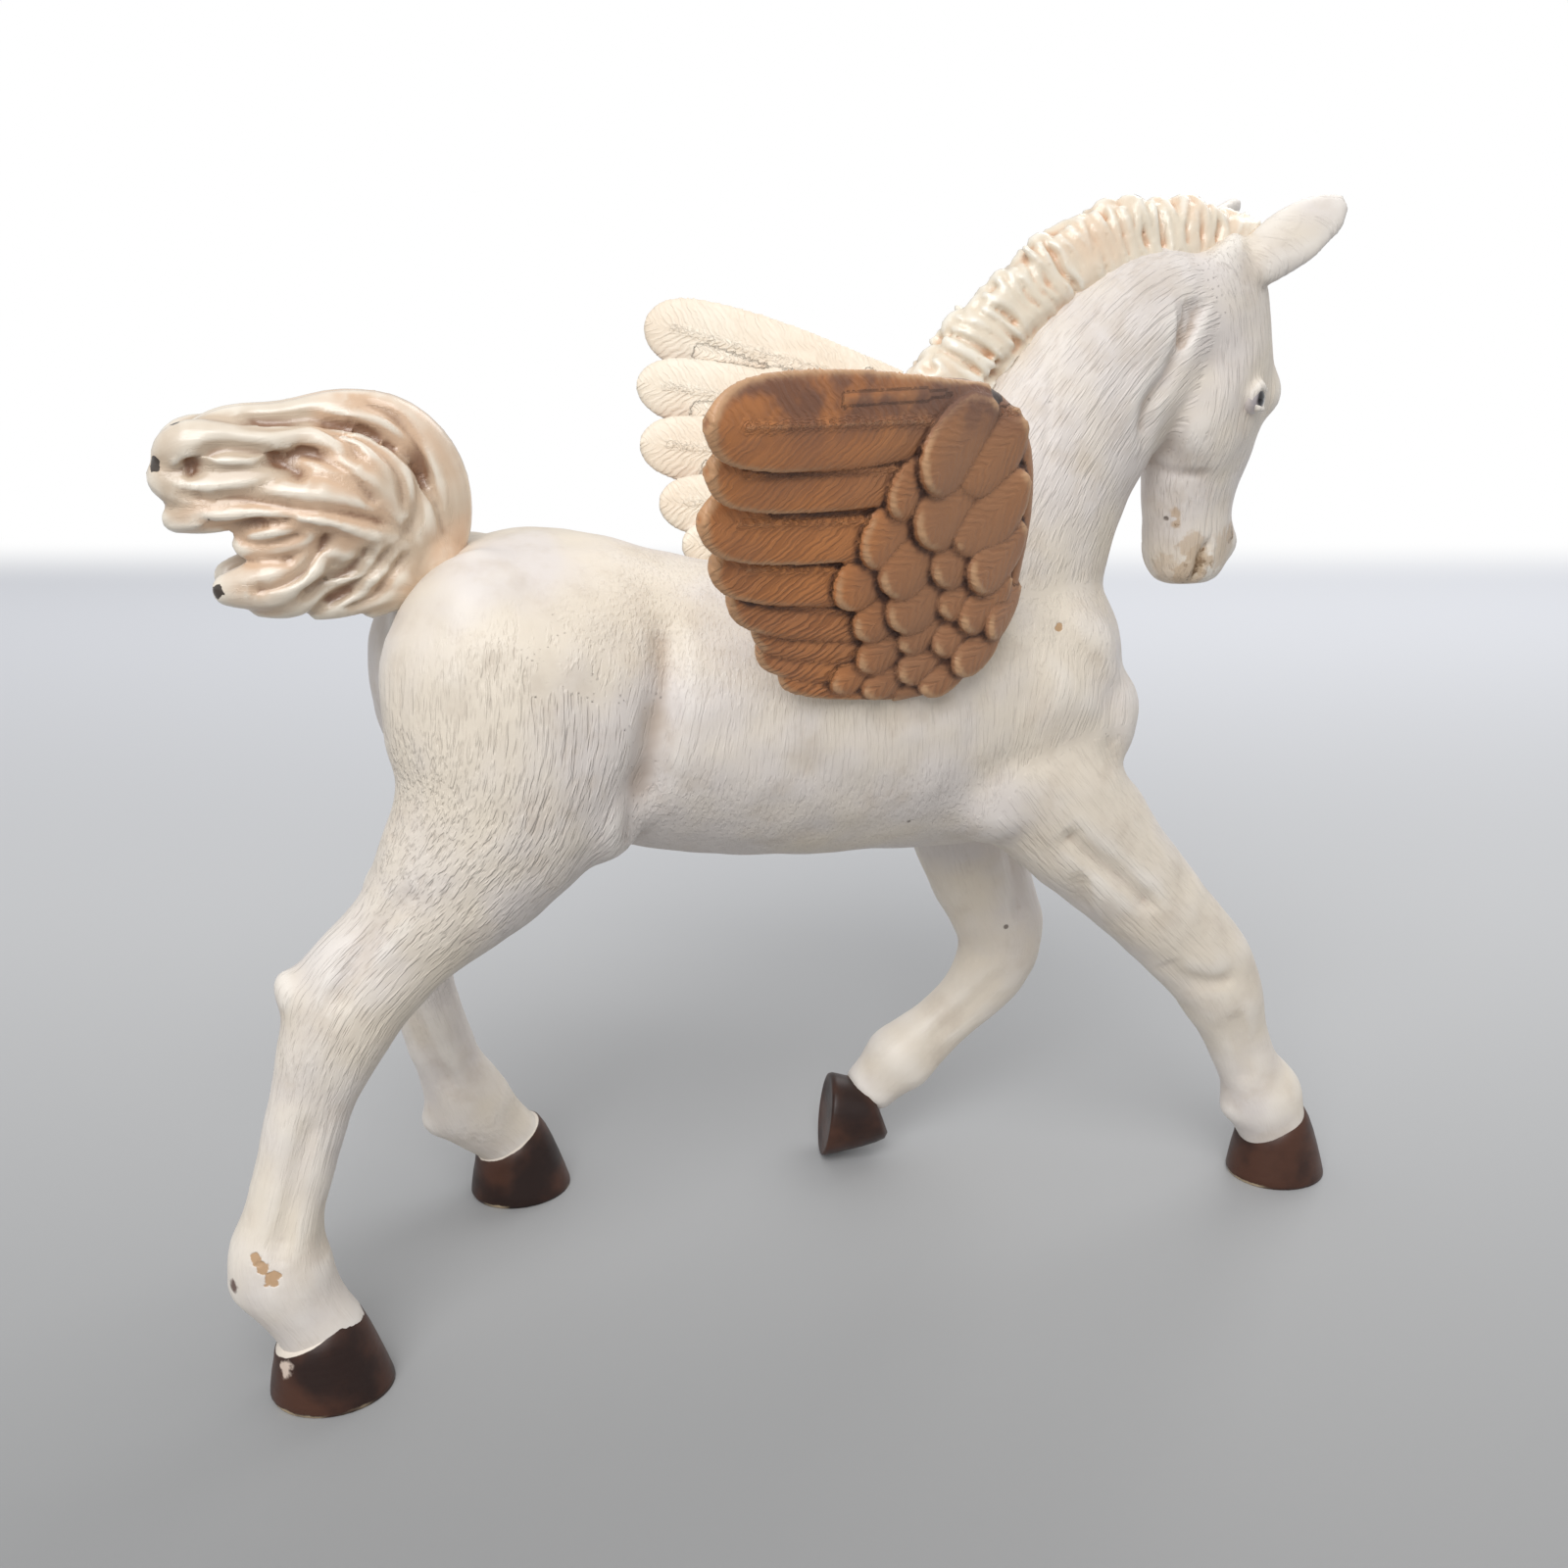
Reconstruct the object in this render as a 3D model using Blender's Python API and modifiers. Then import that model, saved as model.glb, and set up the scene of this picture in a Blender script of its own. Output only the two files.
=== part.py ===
"""Winged foal figurine, moulded in one piece and painted.

X runs from the tail to the head, Y from the near (right) side to the far (left) side and Z up.
The forms are laid out in millimetres in the stance frame, whose X is 0 over the near hind hoof,
whose Y is 0 on the body's middle plane and whose floor is Z 0. The finished figurine is then
moved so that its origin lies under the middle of its box, on the floor.
"""
import math

import bmesh
import bpy
import numpy as np
from mathutils import Matrix, Vector

MM = 0.001

# Hooves and the bones above them
HOOF_LENGTH = 10.2
HOOF_WIDTH = 8.8
HOOF_TOE_HEIGHT = 7.6
HOOF_HEEL_HEIGHT = 4.3
CANNON_DEPTH = 6.5
CANNON_WIDTH = 5.4
FETLOCK_DEPTH = 8.5
FETLOCK_WIDTH = 6.9
PASTERN_DEPTH = 6.8
PASTERN_WIDTH = 6.0
HOCK_DEPTH = 8.9
HOCK_WIDTH = 7.4
KNEE_DEPTH = 8.8
KNEE_WIDTH = 7.4
LIFTED_TOE_GAP = 0.2
LIFTED_HOOF_PITCH = math.radians(98.0)
LIFTED_HOOF_SHARE = 0.88

# Trunk
BARREL_WIDTH = 25.4
HAUNCH_WIDTH = 27.6
SHOULDER_WIDTH = 22.4
CHEST_WIDTH = 16.0
NECK_WIDTH = 12.4

# Head, turned to the far side
HEAD_YAW = math.radians(30.0)
SKULL_DEPTH = 13.6
SKULL_WIDTH = 10.2
MUZZLE_DEPTH = 9.2
MUZZLE_WIDTH = 7.8
EYE_RADIUS = 1.5
EAR_WIDTH = 5.4
EAR_THICKNESS = 2.6
EAR_OUTLINE = (0.60, 0.90, 1.0, 1.0, 0.92, 0.76, 0.40)

# Mane and tail
MANE_TUFTS = 22
MANE_SEED = 11
MANE_THICKNESS = 3.8
MANE_TUFT_WIDTH = 3.3
TAIL_LOCK_WIDTH = 4.0

# Wings
FEATHER_THICKNESS = 1.3
FEATHER_SHAFT = 0.8
FEATHER_LIFT = math.radians(13.0)
WING_PLATE = 1.6
WING_BONE = 3.0
COVERT_THICKNESS = 1.24
COVERT_LIFT = 0.36

# Carved lines and how finely the skin is laid
FLANK_CREASE = 0.9
BODY_VOXEL = 0.7
BODY_RELAX = 9
SKIN_VOXEL = 0.34
SKIN_RELAX = 1
SKIN_TRIANGLES = 11600
SOLE_TRIM = 0.2

PEARL_WHITE = (0.79, 0.74, 0.69, 1.0)


def clear_scene():
    for obj in list(bpy.data.objects):
        bpy.data.objects.remove(obj, do_unlink=True)


def new_collection(name):
    collection = bpy.data.collections.new(name)
    bpy.context.scene.collection.children.link(collection)
    return collection


def pearl_paint():
    material = bpy.data.materials.new("pearl_paint")
    material.use_nodes = True
    shader = material.node_tree.nodes["Principled BSDF"]
    shader.inputs["Base Color"].default_value = PEARL_WHITE
    shader.inputs["Roughness"].default_value = 0.45
    shader.inputs["Metallic"].default_value = 0.0
    return material


def smooth_rows(rows, steps):
    """Rows of numbers with a Catmull-Rom curve laid through them, steps to each gap."""
    rows = np.array(rows, float)
    ends = np.vstack([2 * rows[0] - rows[1], rows, 2 * rows[-1] - rows[-2]])
    out = []
    for a, b, c, d in zip(ends, ends[1:], ends[2:], ends[3:]):
        for t in np.arange(steps) / steps:
            out.append(0.5 * (2 * b + (c - a) * t + (2 * a - 5 * b + 4 * c - d) * t ** 2
                              + (3 * b - a - 3 * c + d) * t ** 3))
    out.append(rows[-1])
    return np.array(out)


def ring_matrix(centre, tangent, across):
    """A frame at centre: X is the ring's deep way, Y its wide way and Z the way along the loft."""
    tangent = tangent.normalized()
    across = (across - tangent * across.dot(tangent)).normalized()
    deep = across.cross(tangent)
    frame = Matrix((deep, across, tangent)).transposed().to_4x4()
    frame.translation = centre
    return frame


def add_ring(bm, frame, deep, wide, sides):
    size = Matrix.Diagonal((deep * MM, wide * MM, MM, 1.0))
    place = frame.copy()
    place.translation = frame.translation * MM
    made = bmesh.ops.create_circle(bm, segments=sides, radius=1.0, matrix=place @ size)
    return list({edge for vert in made["verts"] for edge in vert.link_edges})


def loft(bm, rows, across=(0, 1, 0), sides=20, steps=3, roll=0.0):
    """A closed skin over elliptical rings. A row is x, y, z, half depth and half width."""
    across = Vector(across)
    rows = smooth_rows(rows, steps)
    centres = [Vector(row[:3]) for row in rows]
    last = len(rows) - 1
    rings = []
    for i, row in enumerate(rows):
        tangent = centres[min(i + 1, last)] - centres[max(i - 1, 0)]
        frame = ring_matrix(centres[i], tangent, across) @ Matrix.Rotation(roll, 4, "Z")
        rings.append(add_ring(bm, frame, max(row[3], 0.05), max(row[4], 0.05), sides))
    for lower, upper in zip(rings, rings[1:]):
        bmesh.ops.bridge_loops(bm, edges=lower + upper)
    for end in (rings[0], rings[-1]):
        bmesh.ops.contextual_create(bm, geom=end)


def blob(bm, centre, radii, turn=(0, 0, 0)):
    """An ellipsoid, turned by three angles in degrees."""
    place = Matrix.Translation(Vector(centre) * MM)
    for axis, angle in zip("XYZ", turn):
        place = place @ Matrix.Rotation(math.radians(angle), 4, axis)
    size = Matrix.Diagonal((radii[0] * MM, radii[1] * MM, radii[2] * MM, 1.0))
    bmesh.ops.create_uvsphere(bm, u_segments=20, v_segments=12, radius=1.0, matrix=place @ size)


def fused(bm, voxel, relax):
    """One skin over all the closed shells in bm, relaxed by a few smoothing steps."""
    bmesh.ops.recalc_face_normals(bm, faces=bm.faces)
    mesh = bpy.data.meshes.new("shells")
    bm.to_mesh(mesh)
    bm.free()
    shells = bpy.data.objects.new("shells", mesh)
    bpy.context.scene.collection.objects.link(shells)
    remesh = shells.modifiers.new("Fuse", "REMESH")
    remesh.mode = "VOXEL"
    remesh.voxel_size = voxel * MM
    smooth = shells.modifiers.new("Relax", "SMOOTH")
    smooth.factor = 0.5
    smooth.iterations = relax
    skin = evaluated_mesh(shells)
    bpy.data.objects.remove(shells, do_unlink=True)
    return skin


def evaluated_mesh(obj):
    graph = bpy.context.evaluated_depsgraph_get()
    graph.update()
    return bpy.data.meshes.new_from_object(obj.evaluated_get(graph))


# Trunk: x, bottom, top, half width
TRUNK = (
    (10.0, 54.0, 61.0, 0.17 * HAUNCH_WIDTH),
    (12.0, 50.0, 65.2, 0.33 * HAUNCH_WIDTH),
    (16.0, 47.0, 67.7, 0.47 * HAUNCH_WIDTH),
    (21.5, 44.3, 68.4, 0.49 * HAUNCH_WIDTH),
    (27.0, 41.9, 66.9, 0.47 * BARREL_WIDTH),
    (33.0, 40.2, 65.3, 0.48 * BARREL_WIDTH),
    (40.0, 39.0, 64.5, 0.50 * BARREL_WIDTH),
    (47.0, 38.4, 64.9, 0.50 * BARREL_WIDTH),
    (54.0, 37.9, 66.5, 0.48 * BARREL_WIDTH),
    (60.0, 37.6, 67.5, 0.50 * SHOULDER_WIDTH),
    (65.0, 37.8, 65.5, 0.48 * SHOULDER_WIDTH),
    (69.4, 39.6, 61.5, 0.40 * SHOULDER_WIDTH),
    (71.8, 42.6, 57.0, 0.38 * CHEST_WIDTH),
    (73.2, 46.0, 53.0, 0.22 * CHEST_WIDTH),
)


def add_trunk(bm):
    rows = [(x, 0, (low + top) / 2, (top - low) / 2, half) for x, low, top, half in TRUNK]
    loft(bm, rows, sides=32)


def hind_rows(stations):
    """Adds the sizes that the two hind legs share to their own bend."""
    sizes = (
        (6.0, 3.6), (10.4, 6.9), (10.8, 7.6), (8.8, 6.9), (6.9, 5.4),
        (0.55 * HOCK_DEPTH, 0.56 * HOCK_WIDTH),
        (0.55 * HOCK_DEPTH, 0.53 * HOCK_WIDTH),
        (0.49 * HOCK_DEPTH, 0.50 * HOCK_WIDTH),
        (0.55 * CANNON_DEPTH, 0.58 * CANNON_WIDTH),
        (0.50 * CANNON_DEPTH, 0.51 * CANNON_WIDTH),
        (0.50 * CANNON_DEPTH, 0.50 * CANNON_WIDTH),
        (0.46 * FETLOCK_DEPTH, 0.47 * FETLOCK_WIDTH),
        (0.50 * FETLOCK_DEPTH, 0.50 * FETLOCK_WIDTH),
        (0.54 * PASTERN_DEPTH, 0.54 * PASTERN_WIDTH),
        (0.50 * PASTERN_DEPTH, 0.52 * PASTERN_WIDTH),
        (0.52 * PASTERN_DEPTH, 0.54 * PASTERN_WIDTH),
    )
    return [place + size for place, size in zip(stations, sizes)]


# The hind legs, hip to hoof: x, y and z
NEAR_HIND = (
    (20.0, -5.2, 65.0), (19.2, -6.0, 60.0), (18.6, -6.6, 53.5), (16.6, -7.5, 47.0), (12.8, -8.4, 42.2),
    (8.6, -9.0, 38.0), (4.7, -9.4, 34.3), (2.6, -9.8, 30.9), (1.1, -10.1, 27.3),
    (-0.2, -10.4, 23.5), (-2.3, -10.8, 16.8), (-3.1, -11.0, 13.6), (-2.9, -11.1, 11.4),
    (-2.1, -11.2, 9.2), (-1.0, -11.3, 7.0), (0.2, -11.3, 4.6),
)
FAR_HIND = (
    (20.0, 5.2, 65.0), (19.4, 6.0, 60.0), (18.8, 6.7, 53.5), (18.4, 7.9, 47.0), (16.6, 9.1, 42.0),
    (13.7, 10.0, 37.6), (10.9, 10.7, 33.8), (10.1, 11.3, 30.2), (10.4, 11.8, 26.6),
    (11.3, 12.3, 22.6), (13.1, 13.0, 15.8), (14.2, 13.4, 12.6), (15.1, 13.7, 10.4),
    (16.4, 14.0, 8.6), (17.8, 14.2, 7.0), (19.4, 14.4, 4.8),
)


def fore_rows(stations):
    """Adds the sizes that the two front legs share to their own bend."""
    sizes = (
        (4.6, 3.0), (7.4, 4.6), (6.4, 4.5), (5.4, 4.2), (4.8, 3.9),
        (0.52 * KNEE_DEPTH, 0.50 * KNEE_WIDTH),
        (0.46 * KNEE_DEPTH, 0.47 * KNEE_WIDTH),
        (0.50 * CANNON_DEPTH, 0.52 * CANNON_WIDTH),
        (0.50 * CANNON_DEPTH, 0.50 * CANNON_WIDTH),
        (0.50 * FETLOCK_DEPTH, 0.50 * FETLOCK_WIDTH),
        (0.54 * PASTERN_DEPTH, 0.54 * PASTERN_WIDTH),
        (0.52 * PASTERN_DEPTH, 0.54 * PASTERN_WIDTH),
    )
    return [place + size for place, size in zip(stations, sizes)]


# The front legs, shoulder to hoof: x, y and z
NEAR_FORE = (
    (61.0, -5.6, 51.0), (63.6, -6.5, 46.5), (67.9, -7.0, 41.0), (73.4, -7.2, 35.2), (78.7, -7.2, 29.6),
    (83.0, -7.0, 25.0), (85.5, -6.8, 20.9), (87.7, -6.6, 16.2), (89.3, -6.5, 12.6),
    (91.3, -6.4, 9.2), (92.4, -6.3, 6.9), (93.6, -6.3, 4.2),
)
FAR_FORE = (
    (60.6, 5.4, 50.5), (62.0, 6.4, 45.5), (63.4, 7.2, 39.0), (65.4, 8.2, 32.6), (67.8, 8.8, 27.4),
    (69.2, 9.1, 23.4), (68.2, 9.3, 19.4), (65.4, 9.6, 16.0), (62.0, 9.9, 13.0),
    (58.6, 10.1, 10.4), (56.8, 10.3, 8.6), (54.8, 10.5, 6.6),
)


def add_legs(bm):
    loft(bm, hind_rows(NEAR_HIND))
    loft(bm, hind_rows(FAR_HIND))
    loft(bm, fore_rows(NEAR_FORE))
    loft(bm, fore_rows(FAR_FORE))


def add_muscles(bm):
    for side in (-1, 1):
        blob(bm, (16.4, side * 5.4, 57.0), (8.2, 7.4, 10.5), (0, 8, 0))
        blob(bm, (22.0, side * 8.2, 53.5), (7.6, 5.4, 10.2), (0, 20, 0))
        blob(bm, (24.2, side * 8.4, 47.0), (4.6, 3.8, 5.0), (0, 35, 0))
        blob(bm, (63.8, side * 6.6, 53.5), (7.8, 4.8, 8.6), (0, 25, 0))
        blob(bm, (60.0, side * 7.4, 45.0), (6.2, 4.0, 5.4), (0, 15, 0))
    blob(bm, (69.0, -5.9, 50.2), (5.1, 4.4, 5.8), (0, 10, 0))
    blob(bm, (66.2, 5.2, 49.4), (4.6, 4.0, 5.4), (0, 10, 0))
    blob(bm, (70.6, -6.6, 40.6), (4.6, 3.4, 5.6), (0, -52, 0))
    blob(bm, (0.2, -9.6, 33.7), (1.6, 2.3, 3.2), (0, -24, 0))
    blob(bm, (8.3, 11.0, 32.9), (1.6, 2.3, 3.2), (0, -8, 0))
    blob(bm, (-6.1, -11.1, 10.9), (1.4, 1.9, 1.9))
    blob(bm, (11.5, 13.7, 9.6), (1.4, 1.9, 1.9))
    blob(bm, (88.2, -6.4, 8.6), (1.4, 1.9, 1.9))


def add_wing_roots(bm):
    """The thick base that carries each wing on the shoulder."""
    for side in (-1, 1):
        blob(bm, (50.0 + 2.0 * side, side * 9.6, 58.4), (7.0, 4.4, 4.4), (-18 * side, 0, 0))
        blob(bm, (53.4 + 2.0 * side, side * 10.2, 61.6), (4.4, 4.0, 5.2), (-18 * side, 0, 0))


def add_neck(bm):
    half = 0.5 * NECK_WIDTH
    loft(bm, (
        (57.0, 0.0, 54.0, 14.0, 1.56 * half),
        (60.4, 0.0, 60.5, 12.2, 1.44 * half),
        (63.6, 0.0, 67.0, 10.2, 1.18 * half),
        (67.4, 0.0, 73.4, 8.9, 1.02 * half),
        (72.2, 0.2, 79.4, 8.3, 0.94 * half),
        (77.4, 0.9, 83.6, 7.4, 0.88 * half),
        (82.6, 1.8, 85.2, 5.0, 0.74 * half),
    ), sides=28)


def head_axes():
    """The head's own forward way and the way to its right cheek."""
    forward = Vector((math.cos(HEAD_YAW), math.sin(HEAD_YAW), 0))
    right = Vector((math.sin(HEAD_YAW), -math.cos(HEAD_YAW), 0))
    return forward, right


HEAD_LINE = (
    (81.2, 1.2, 90.2, 0.30, 0.38),
    (82.6, 1.5, 87.6, 0.43, 0.46),
    (83.9, 1.9, 83.6, 0.48, 0.49),
    (84.5, 2.2, 78.6, 0.51, 0.50),
    (84.0, 2.3, 74.4, 0.49, 0.47),
)
MUZZLE_LINE = (
    (83.3, 2.4, 70.2, 0.62, 0.54),
    (83.3, 2.5, 66.6, 0.53, 0.50),
    (83.5, 2.6, 63.8, 0.50, 0.51),
    (83.7, 2.6, 61.6, 0.44, 0.46),
    (83.8, 2.6, 60.2, 0.30, 0.32),
)


def add_head(bm):
    forward, right = head_axes()
    rows = [(x, y, z, d * SKULL_DEPTH, w * SKULL_WIDTH) for x, y, z, d, w in HEAD_LINE]
    rows += [(x, y, z, d * MUZZLE_DEPTH, w * MUZZLE_WIDTH) for x, y, z, d, w in MUZZLE_LINE]
    loft(bm, rows, across=right, sides=28)
    turn = (0, 0, math.degrees(HEAD_YAW))
    brow = Vector((84.4, 2.2, 77.8)) + forward * (0.27 * SKULL_DEPTH)
    jaw = Vector((83.6, 2.2, 76.0)) - forward * (0.14 * SKULL_DEPTH)
    nostril = Vector((83.7, 2.6, 63.8)) + forward * (0.30 * MUZZLE_DEPTH)
    chin = Vector((83.7, 2.6, 61.8)) - forward * (0.26 * MUZZLE_DEPTH)
    for side in (-1, 1):
        blob(bm, brow + right * (side * 0.34 * SKULL_WIDTH), (2.3, 1.8, 2.5), turn)
        blob(bm, jaw + right * (side * 0.20 * SKULL_WIDTH), (5.2, 3.0, 6.4), turn)
        blob(bm, nostril + right * (side * 0.26 * MUZZLE_WIDTH), (1.9, 1.6, 1.9), turn)
    blob(bm, chin, (1.9, 2.6, 1.7), turn)


def add_eyes(bm):
    forward, right = head_axes()
    for side in (-1, 1):
        eye = Vector((84.4, 2.2, 77.0)) + forward * (0.30 * SKULL_DEPTH)
        eye += right * (side * 0.40 * SKULL_WIDTH)
        blob(bm, eye, (EYE_RADIUS, EYE_RADIUS, EYE_RADIUS))


def add_ears(bm):
    """Leaf-shaped ears, laid forward from the poll; the near one also points out."""
    forward, right = head_axes()
    near_reach = forward * 9.9 + right * 4.4 + Vector((0, 0, 6.7))
    far_reach = forward * 10.8 - right * 1.2 + Vector((0, 0, 7.2))
    for side, base, reach in ((1, Vector((83.0, 1.5, 87.6)) + right * 2.9, near_reach),
                              (-1, Vector((83.5, 1.9, 87.6)) - right * 2.5, far_reach)):
        back = (forward * -0.45 + right * (side * 0.45) + Vector((0, 0, 0.9))).normalized()
        rows = []
        for i, width in enumerate(EAR_OUTLINE):
            t = i / (len(EAR_OUTLINE) - 1)
            bow = back * (0.9 * math.sin(math.pi * t))
            thick = 0.5 * EAR_THICKNESS * (1.0 - 0.5 * t)
            rows.append((*(base + reach * t + bow), 0.5 * EAR_WIDTH * width, thick))
        loft(bm, rows, across=back, sides=16, steps=2)


def hoof(bm, sole_centre, pitch=0.0, yaw=0.0, share=1.0):
    """A hoof wall from the sole to the coronet, which is lower at the heel."""
    place = Matrix.Translation(Vector(sole_centre)) @ Matrix.Rotation(yaw, 4, "Z")
    place = place @ Matrix.Rotation(pitch, 4, "Y") @ Matrix.Scale(share, 4)
    slope = math.atan2(HOOF_TOE_HEIGHT - HOOF_HEEL_HEIGHT, 0.72 * HOOF_LENGTH)
    mean = 0.5 * (HOOF_TOE_HEIGHT + HOOF_HEEL_HEIGHT)
    levels = ((0.0, 0.0, 1.0, 1.0), (0.08, -0.01, 1.0, 1.0), (0.45, -0.05, 0.91, 0.93),
              (0.85, -0.09, 0.83, 0.86), (1.0, -0.115, 0.78, 0.81), (1.12, -0.12, 0.66, 0.68))
    rings = []
    for height, back, length, width in levels:
        frame = Matrix.Translation(Vector((back * HOOF_LENGTH, 0, height * mean)))
        frame = place @ frame @ Matrix.Rotation(-slope * min(height, 1.0), 4, "Y")
        half_length = 0.5 * HOOF_LENGTH * length
        rings.append(add_ring(bm, frame, half_length, 0.5 * HOOF_WIDTH * width, 28))
    for lower, upper in zip(rings, rings[1:]):
        bmesh.ops.bridge_loops(bm, edges=lower + upper)
    for end in (rings[0], rings[-1]):
        bmesh.ops.contextual_create(bm, geom=end)


def add_hooves(bm):
    hoof(bm, (0.1, -11.3, 0.0), yaw=math.radians(-4))
    hoof(bm, (19.6, 14.4, 0.0), yaw=math.radians(8))
    hoof(bm, (93.9, -6.3, 0.0), yaw=math.radians(-6))
    reach = 0.5 * HOOF_LENGTH * LIFTED_HOOF_SHARE * math.sin(LIFTED_HOOF_PITCH)
    hoof(bm, (50.4, 10.6, reach + SOLE_TRIM + LIFTED_TOE_GAP), pitch=LIFTED_HOOF_PITCH,
         yaw=math.radians(10), share=LIFTED_HOOF_SHARE)


# Mane: the line where it leaves the crest, and its free edge
MANE_ROOT = ((52.6, -0.6, 68.4), (54.4, -0.6, 73.2), (58.6, -0.4, 79.2), (63.2, 0.0, 84.0),
             (68.6, 0.4, 87.6), (74.4, 0.9, 89.2), (80.2, 1.2, 90.0), (84.6, 1.8, 89.6))
MANE_EDGE = ((47.2, -0.6, 70.6), (49.8, -0.6, 76.2), (54.6, -0.4, 81.8), (59.6, 0.0, 87.0),
             (66.0, 0.4, 91.8), (73.0, 0.9, 94.4), (80.4, 1.2, 94.8), (86.4, 1.8, 93.2))


def add_mane(bm):
    """Upright tufts side by side along the crest, uneven in width, reach and lean."""
    chance = np.random.default_rng(MANE_SEED)
    roots = smooth_rows(MANE_ROOT, 30)
    edges = smooth_rows(MANE_EDGE, 30)
    last = len(roots) - 1
    spacing = np.cumsum(chance.uniform(0.6, 1.4, MANE_TUFTS))
    spacing = (spacing - spacing[0]) / (spacing[-1] - spacing[0])
    for share in spacing:
        at = round(share * last)
        root = Vector(roots[at])
        out = Vector(edges[at]) - root
        crest = (Vector(roots[min(at + 4, last)]) - Vector(roots[max(at - 4, 0)])).normalized()
        reach = chance.uniform(0.88, 1.03)
        lean = Vector((0, chance.uniform(-0.7, 0.4), 0)) + crest * chance.uniform(-0.5, 0.5)
        half = 0.5 * MANE_TUFT_WIDTH * chance.uniform(0.76, 1.22)
        thick = 0.5 * MANE_THICKNESS
        loft(bm, (
            (*(root - out * 0.45), 1.2 * half, 1.16 * thick),
            (*(root + out * 0.1), 1.05 * half, 0.95 * thick),
            (*(root + out * 0.6 + lean * 0.5), 0.95 * half, 0.68 * thick),
            (*(root + out * 0.88 * reach + lean), 0.78 * half, 0.45 * thick),
            (*(root + out * reach + lean), 0.36 * half, 0.21 * thick),
        ), sides=12, steps=2)


# Tail locks, dock to tip: x, y, z and a width factor
TAIL_LOCKS = (
    ((13.2, -0.5, 65.2, 0.9), (14.5, -0.8, 69.0, 1.1), (13.9, -1.0, 73.0, 1.25),
     (11.4, -1.2, 76.2, 1.2), (7.6, -1.4, 77.3, 1.0), (3.2, -1.6, 76.8, 0.85),
     (-0.8, -1.8, 76.6, 0.8), (-3.4, -1.8, 76.2, 0.45)),
    ((12.6, -1.5, 65.4, 0.7), (12.4, -2.8, 69.4, 0.75), (10.6, -3.6, 72.8, 0.8),
     (7.6, -3.6, 75.2, 0.7), (4.2, -3.4, 75.9, 0.6), (0.4, -3.8, 75.2, 0.9),
     (-3.4, -3.4, 75.5, 1.0), (-5.3, -2.8, 74.6, 0.7)),
    ((12.3, -2.0, 66.0, 0.7), (11.0, -3.6, 70.2, 0.75), (7.8, -4.3, 73.1, 0.8),
     (3.6, -4.0, 73.5, 0.6), (-0.4, -4.2, 72.7, 0.75), (-3.8, -3.6, 72.5, 0.8),
     (-5.7, -2.8, 73.6, 0.7)),
    ((12.0, -1.8, 65.6, 0.8), (9.2, -3.8, 69.4, 1.0), (5.2, -4.6, 71.3, 1.15),
     (0.8, -4.2, 71.4, 0.9), (-3.0, -3.6, 70.9, 0.85), (-5.3, -3.2, 70.3, 0.5)),
    ((12.0, -1.8, 65.2, 0.8), (9.0, -3.8, 68.2, 0.85), (5.0, -4.6, 69.2, 0.7),
     (1.8, -4.4, 69.0, 0.85), (-0.6, -3.8, 68.3, 0.5)),
    ((12.0, -1.6, 64.8, 0.8), (8.6, -3.8, 67.0, 0.7), (5.2, -4.6, 68.0, 0.6),
     (3.4, -4.7, 66.0, 0.75), (1.0, -4.2, 65.4, 1.0), (-2.2, -3.6, 65.0, 0.6)),
    ((12.2, -1.6, 64.4, 0.8), (9.0, -3.4, 65.9, 0.9), (5.6, -3.6, 65.8, 0.7),
     (2.6, -3.8, 64.2, 0.75), (0.0, -3.4, 63.6, 0.4)),
    ((12.4, -1.4, 64.2, 0.8), (9.6, -3.0, 64.6, 0.75), (6.6, -3.2, 63.8, 0.7),
     (4.2, -3.0, 63.0, 0.4)),
    ((12.6, -1.0, 64.4, 0.8), (10.4, -2.4, 63.8, 0.6), (8.2, -2.6, 62.8, 0.4)),
)


def add_tail(bm):
    """Flowing locks that sweep up from the dock and arc over backward, on both sides."""
    for side in (1, -1):
        for lock in TAIL_LOCKS:
            half = 0.5 * TAIL_LOCK_WIDTH
            rows = [(x - 0.2, side * (y + 0.4) - 0.4, z, half * w, 0.85 * half * w)
                    for x, y, z, w in lock]
            loft(bm, rows, sides=12)
    blob(bm, (6.4, -0.4, 70.6), (6.6, 3.2, 5.4), (0, -20, 0))
    blob(bm, (0.6, -0.4, 73.8), (4.6, 2.6, 2.6))
    blob(bm, (13.0, -0.4, 66.4), (3.0, 3.2, 3.4))


# Wings. Each lies on a curved face that leans out as it rises and flares out to the rear:
# root height, half gap there, lean, front edge, flare at the root height, growth of the flare
NEAR_FACE = (57.0, 13.4, 0.25, 53.0, 0.03, 0.0197)
FAR_FACE = (59.0, 12.6, 0.26, 58.0, 0.06, 0.012)
# A flight feather: root x and z, tip x and z, width. They run from the top down.
NEAR_FLIGHT = (
    (52.0, 77.6, 28.0, 78.2, 6.2), (53.4, 74.2, 28.7, 75.0, 5.8), (54.4, 70.0, 28.8, 71.5, 6.2),
    (54.4, 65.6, 30.3, 68.1, 5.6), (53.0, 61.8, 32.3, 65.2, 5.0), (51.2, 59.6, 34.7, 62.6, 4.2),
    (49.6, 57.8, 35.4, 60.7, 4.0), (47.6, 56.4, 37.6, 58.6, 3.6),
)
FAR_FLIGHT = (
    (59.6, 76.9, 37.4, 83.8, 6.6), (59.8, 73.6, 35.9, 78.3, 6.0), (59.6, 69.6, 35.4, 72.9, 6.0),
    (58.8, 65.8, 36.4, 67.6, 5.6), (57.4, 62.4, 38.0, 63.9, 5.0), (55.6, 60.0, 40.4, 61.2, 4.4),
    (54.0, 58.2, 42.2, 59.2, 4.0), (52.2, 56.8, 43.8, 57.8, 3.6),
)
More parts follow.
